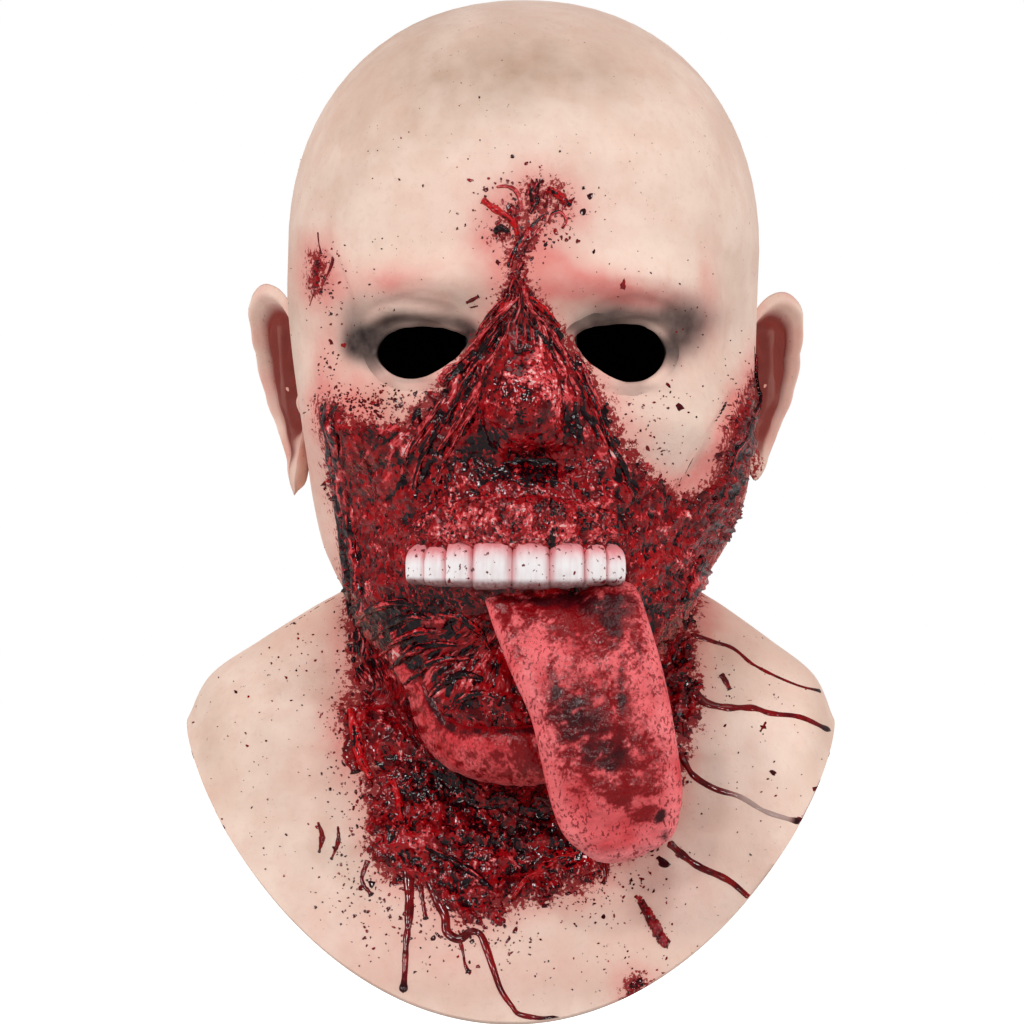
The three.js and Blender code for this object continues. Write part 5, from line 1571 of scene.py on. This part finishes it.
# Where drops are scattered. Columns: place, size in view steps, number, largest radius in mm
SPRAYS = [
    ((528, 215), (44, 36), 230, 1.1), ((516, 300), (26, 30), 60, 0.8), ((322, 275), (16, 34), 50, 0.8),
    ((376, 402), (44, 16), 280, 1.0), ((330, 380), (16, 40), 60, 0.9), ((650, 430), (46, 46), 110, 0.8),
    ((700, 520), (40, 30), 130, 0.9), ((740, 440), (22, 60), 90, 0.8), ((400, 900), (60, 40), 220, 1.4),
    ((350, 820), (24, 80), 160, 1.1), ((480, 930), (60, 24), 130, 1.2), ((600, 890), (60, 30), 160, 1.1),
    ((250, 760), (70, 110), 70, 0.8), ((340, 700), (22, 60), 90, 0.9), ((720, 700), (60, 60), 50, 0.6),
    ((790, 760), (50, 80), 26, 0.6), ((560, 960), (140, 40), 60, 0.7), ((360, 290), (60, 50), 36, 0.6),
    ((620, 280), (80, 60), 30, 0.6), ((700, 380), (50, 80), 24, 0.6), ((310, 640), (60, 60), 60, 0.7),
    ((640, 940), (50, 40), 40, 0.8), ((470, 150), (90, 60), 16, 0.5), ((700, 860), (60, 60), 30, 0.6),
]
DROPS = [
    ((624, 285), 1.3), ((679, 406), 1.5), ((663, 862), 1.9), ((773, 773), 1.0), ((817, 792), 1.3), ((763, 727), 0.9),
    ((512, 156), 0.9), ((486, 190), 0.9), ((470, 180), 0.8), ((590, 196), 1.1), ((583, 212), 1.3), ((556, 232), 1.0),
    ((566, 240), 0.9), ((498, 262), 1.1), ((801, 822), 1.6), ((433, 938), 1.2), ((469, 972), 1.0), ((641, 992), 2.0),
    ((372, 884), 1.5), ((640, 980), 1.3), ((340, 345), 1.0), ((447, 905), 1.8), ((545, 905), 1.2), ((766, 912), 1.0),
]


def make_spatter():
    """Drops of blood on the skin: low domes of two rings, scattered by normal draws about a few places."""
    draw = np.random.default_rng(23)
    places, radii = [], []
    for at, size, number, most in SPRAYS:
        places.append(draw.normal(at, np.array(size) * 0.62, (number, 2)))
        radii.append(most * draw.beta(1.3, 5.0, number) + 0.16)
    for at, radius in DROPS:
        places.append(np.array([at], float))
        radii.append(np.array([radius]))
    at = np.vstack(places)
    radius = np.concatenate(radii)
    good = np.maximum(*(inside(at[:, 0], at[:, 1], outline) for outline in EYES_SEEN)) < -2
    at, radius = at[good], radius[good]
    count = len(at)
    stretch = 1 + draw.beta(1.2, 4.0, count) * 1.6
    turned = draw.uniform(0, math.pi, count)
    turn = np.linspace(0, 2 * math.pi, 9, endpoint=False)
    wobble = 1 + 0.22 * draw.normal(size=(count, 9))
    rings = []
    for share, lift in ((1.0, -0.22), (0.72, 0.14), (0.0, 0.26)):
        a = np.cos(turn)[None] * radius[:, None] * share * wobble * stretch[:, None]
        b = np.sin(turn)[None] * radius[:, None] * share * wobble
        du = a * np.cos(turned)[:, None] - b * np.sin(turned)[:, None]
        dv = a * np.sin(turned)[:, None] + b * np.cos(turned)[:, None]
        angle, place = under(at[:, :1] + du / FACE_STEP, at[:, 1:] + dv / FACE_STEP)
        high = lift * (0.7 + 0.45 * radius[:, None]) * np.ones(9)
        rings.append(skin(angle, place, high)[0])
    outer, inner, top = rings
    points = np.concatenate([outer, inner, top[:, :1]], 1)
    ring = np.arange(9)
    after = (ring + 1) % 9
    sides = np.stack([ring, after, after + 9, ring + 9], 1)
    caps = np.stack([ring + 9, after + 9, np.full(9, 18)], 1)
    starts = (np.arange(count) * 19)[:, None, None]
    dark = np.repeat(clip01(draw.uniform(-0.2, 1.1, count)), 19)
    shape = Shape()
    shape.add(points.reshape(-1, 3), (sides + starts).reshape(-1, 4)[:, ::-1], dark=dark)
    shape.add(points.reshape(-1, 3), (caps + starts).reshape(-1, 3)[:, ::-1], dark=dark)
    return shape.piece("blood_spatter", blood_material, "flesh")


FLOOR_DROP, FLOOR_REACH = 120, 7000
WORLD_LIGHT = 0.22
AIM = np.array([0, -0.02, -0.19])
# Lights, in metres and watts. Columns: name, place, size, power
LIGHTS = [
    ("key_light", (-0.95, -1.4, 0.9), 0.36, 9.3),
    ("side_light", (1.25, -1.3, 0.4), 0.3, 4.6),
    ("top_light", (0.1, -0.3, 1.3), 0.8, 3.2),
    ("left_glint", (-0.5, -1.8, 0.3), 0.15, 3.9),
    ("right_glint", (0.5, -1.8, 0.1), 0.15, 2.9),
    ("high_glint", (0.1, -1.5, 0.9), 0.16, 4.0),
    ("low_glint", (0.25, -1.4, -0.95), 0.4, 2.4),
    ("left_fill", (-1.7, 0.1, 0.1), 1.2, 13.0),
    ("right_fill", (1.7, 0.1, 0.1), 1.2, 14.0),
    ("back_fill", (0.0, 1.8, 0.5), 1.2, 12.0),
]


def make_camera():
    """The camera of the front view."""
    camera = bpy.data.cameras.new("front_camera")
    camera.sensor_width = SENSOR_WIDTH
    camera.lens = SENSOR_WIDTH * SEEN_FROM / (2 * SEEN_SIZE * SEEN_STEP)
    camera.clip_end = 50
    made = bpy.data.objects.new("front_camera", camera)
    made.location = (SEEN_X * METRE, -SEEN_FROM * METRE, SEEN_Z * METRE)
    made.rotation_euler = (math.pi / 2, 0, 0)
    bpy.context.collection.objects.link(made)
    bpy.context.scene.camera = made


def make_studio():
    """A floor, a world that is white in the camera's eyes and dim as a light, small lights in front that glint in the
    wet flesh, and wide fills at the sides and behind that don't."""
    material = make_floor_material()
    across, away = np.meshgrid(*[np.linspace(-FLOOR_REACH, FLOOR_REACH, 9)] * 2)
    points = np.stack([across, away, np.full(across.shape, cad_box[0][2] / METRE - FLOOR_DROP)], -1)
    shape = Shape().grid(points, flip=True)
    shape.object("studio_floor", material)
    world = bpy.data.worlds.new("white_world")
    world.use_nodes = True
    tree = world.node_tree
    path = tree.nodes.new("ShaderNodeLightPath")
    strength = tree.nodes.new("ShaderNodeMapRange")
    strength.inputs["To Min"].default_value = WORLD_LIGHT
    tree.links.new(path.outputs["Is Camera Ray"], strength.inputs["Value"])
    background = tree.nodes["Background"]
    background.inputs["Color"].default_value = (1, 1, 1, 1)
    tree.links.new(strength.outputs["Result"], background.inputs["Strength"])
    bpy.context.scene.world = world
    for name, place, size, power in LIGHTS:
        light = bpy.data.lights.new(name, "AREA")
        light.size = size
        light.energy = power
        made = bpy.data.objects.new(name, light)
        made.location = place
        made.visible_glossy = not name.endswith("fill")
        back = np.array(place) - AIM
        made.rotation_euler = (
            math.atan2(math.hypot(back[0], back[1]), back[2]), 0, math.atan2(back[1], back[0]) + math.pi / 2,
        )
        bpy.context.collection.objects.link(made)


make_camera()
make_studio()
make_skin()
for ear_name in EARS:
    make_ear(ear_name)
gore_patch("face_gore", [FACE_GORE], ((312, 276), (800, 742)), 0.6, 1.25, ("face_wound",), 9.0, 13.0)
gore_patch("neck_gore", [NECK_GORE], ((330, 690), (706, 930)), 0.62, 1.2, ("neck_wound",), 14.0, 15.0)
gore_patch("forehead_gore", SPLAT, ((470, 172), (596, 312)), 0.42, 1.1, (), 5.0, 6.0, 3.0, 0.45)
gore_patch("temple_gash", TEMPLE_GASH, ((304, 248), (330, 300)), 0.42, 2.0, (), 2.5, 5.0, 2.5, 0.4)
gore_patch("chest_marks", BLOTCH + STREAK, ((618, 888), (680, 1010)), 0.42, 1.1, (), 2.0, 5.0, 2.5, 0.4)
make_gum()
for tooth_index in range(len(TEETH)):
    make_tooth(tooth_index)
make_lip()
make_tongue()
make_ropes()
make_runs()
make_spatter()

bpy.context.scene.view_settings.view_transform = "Standard"
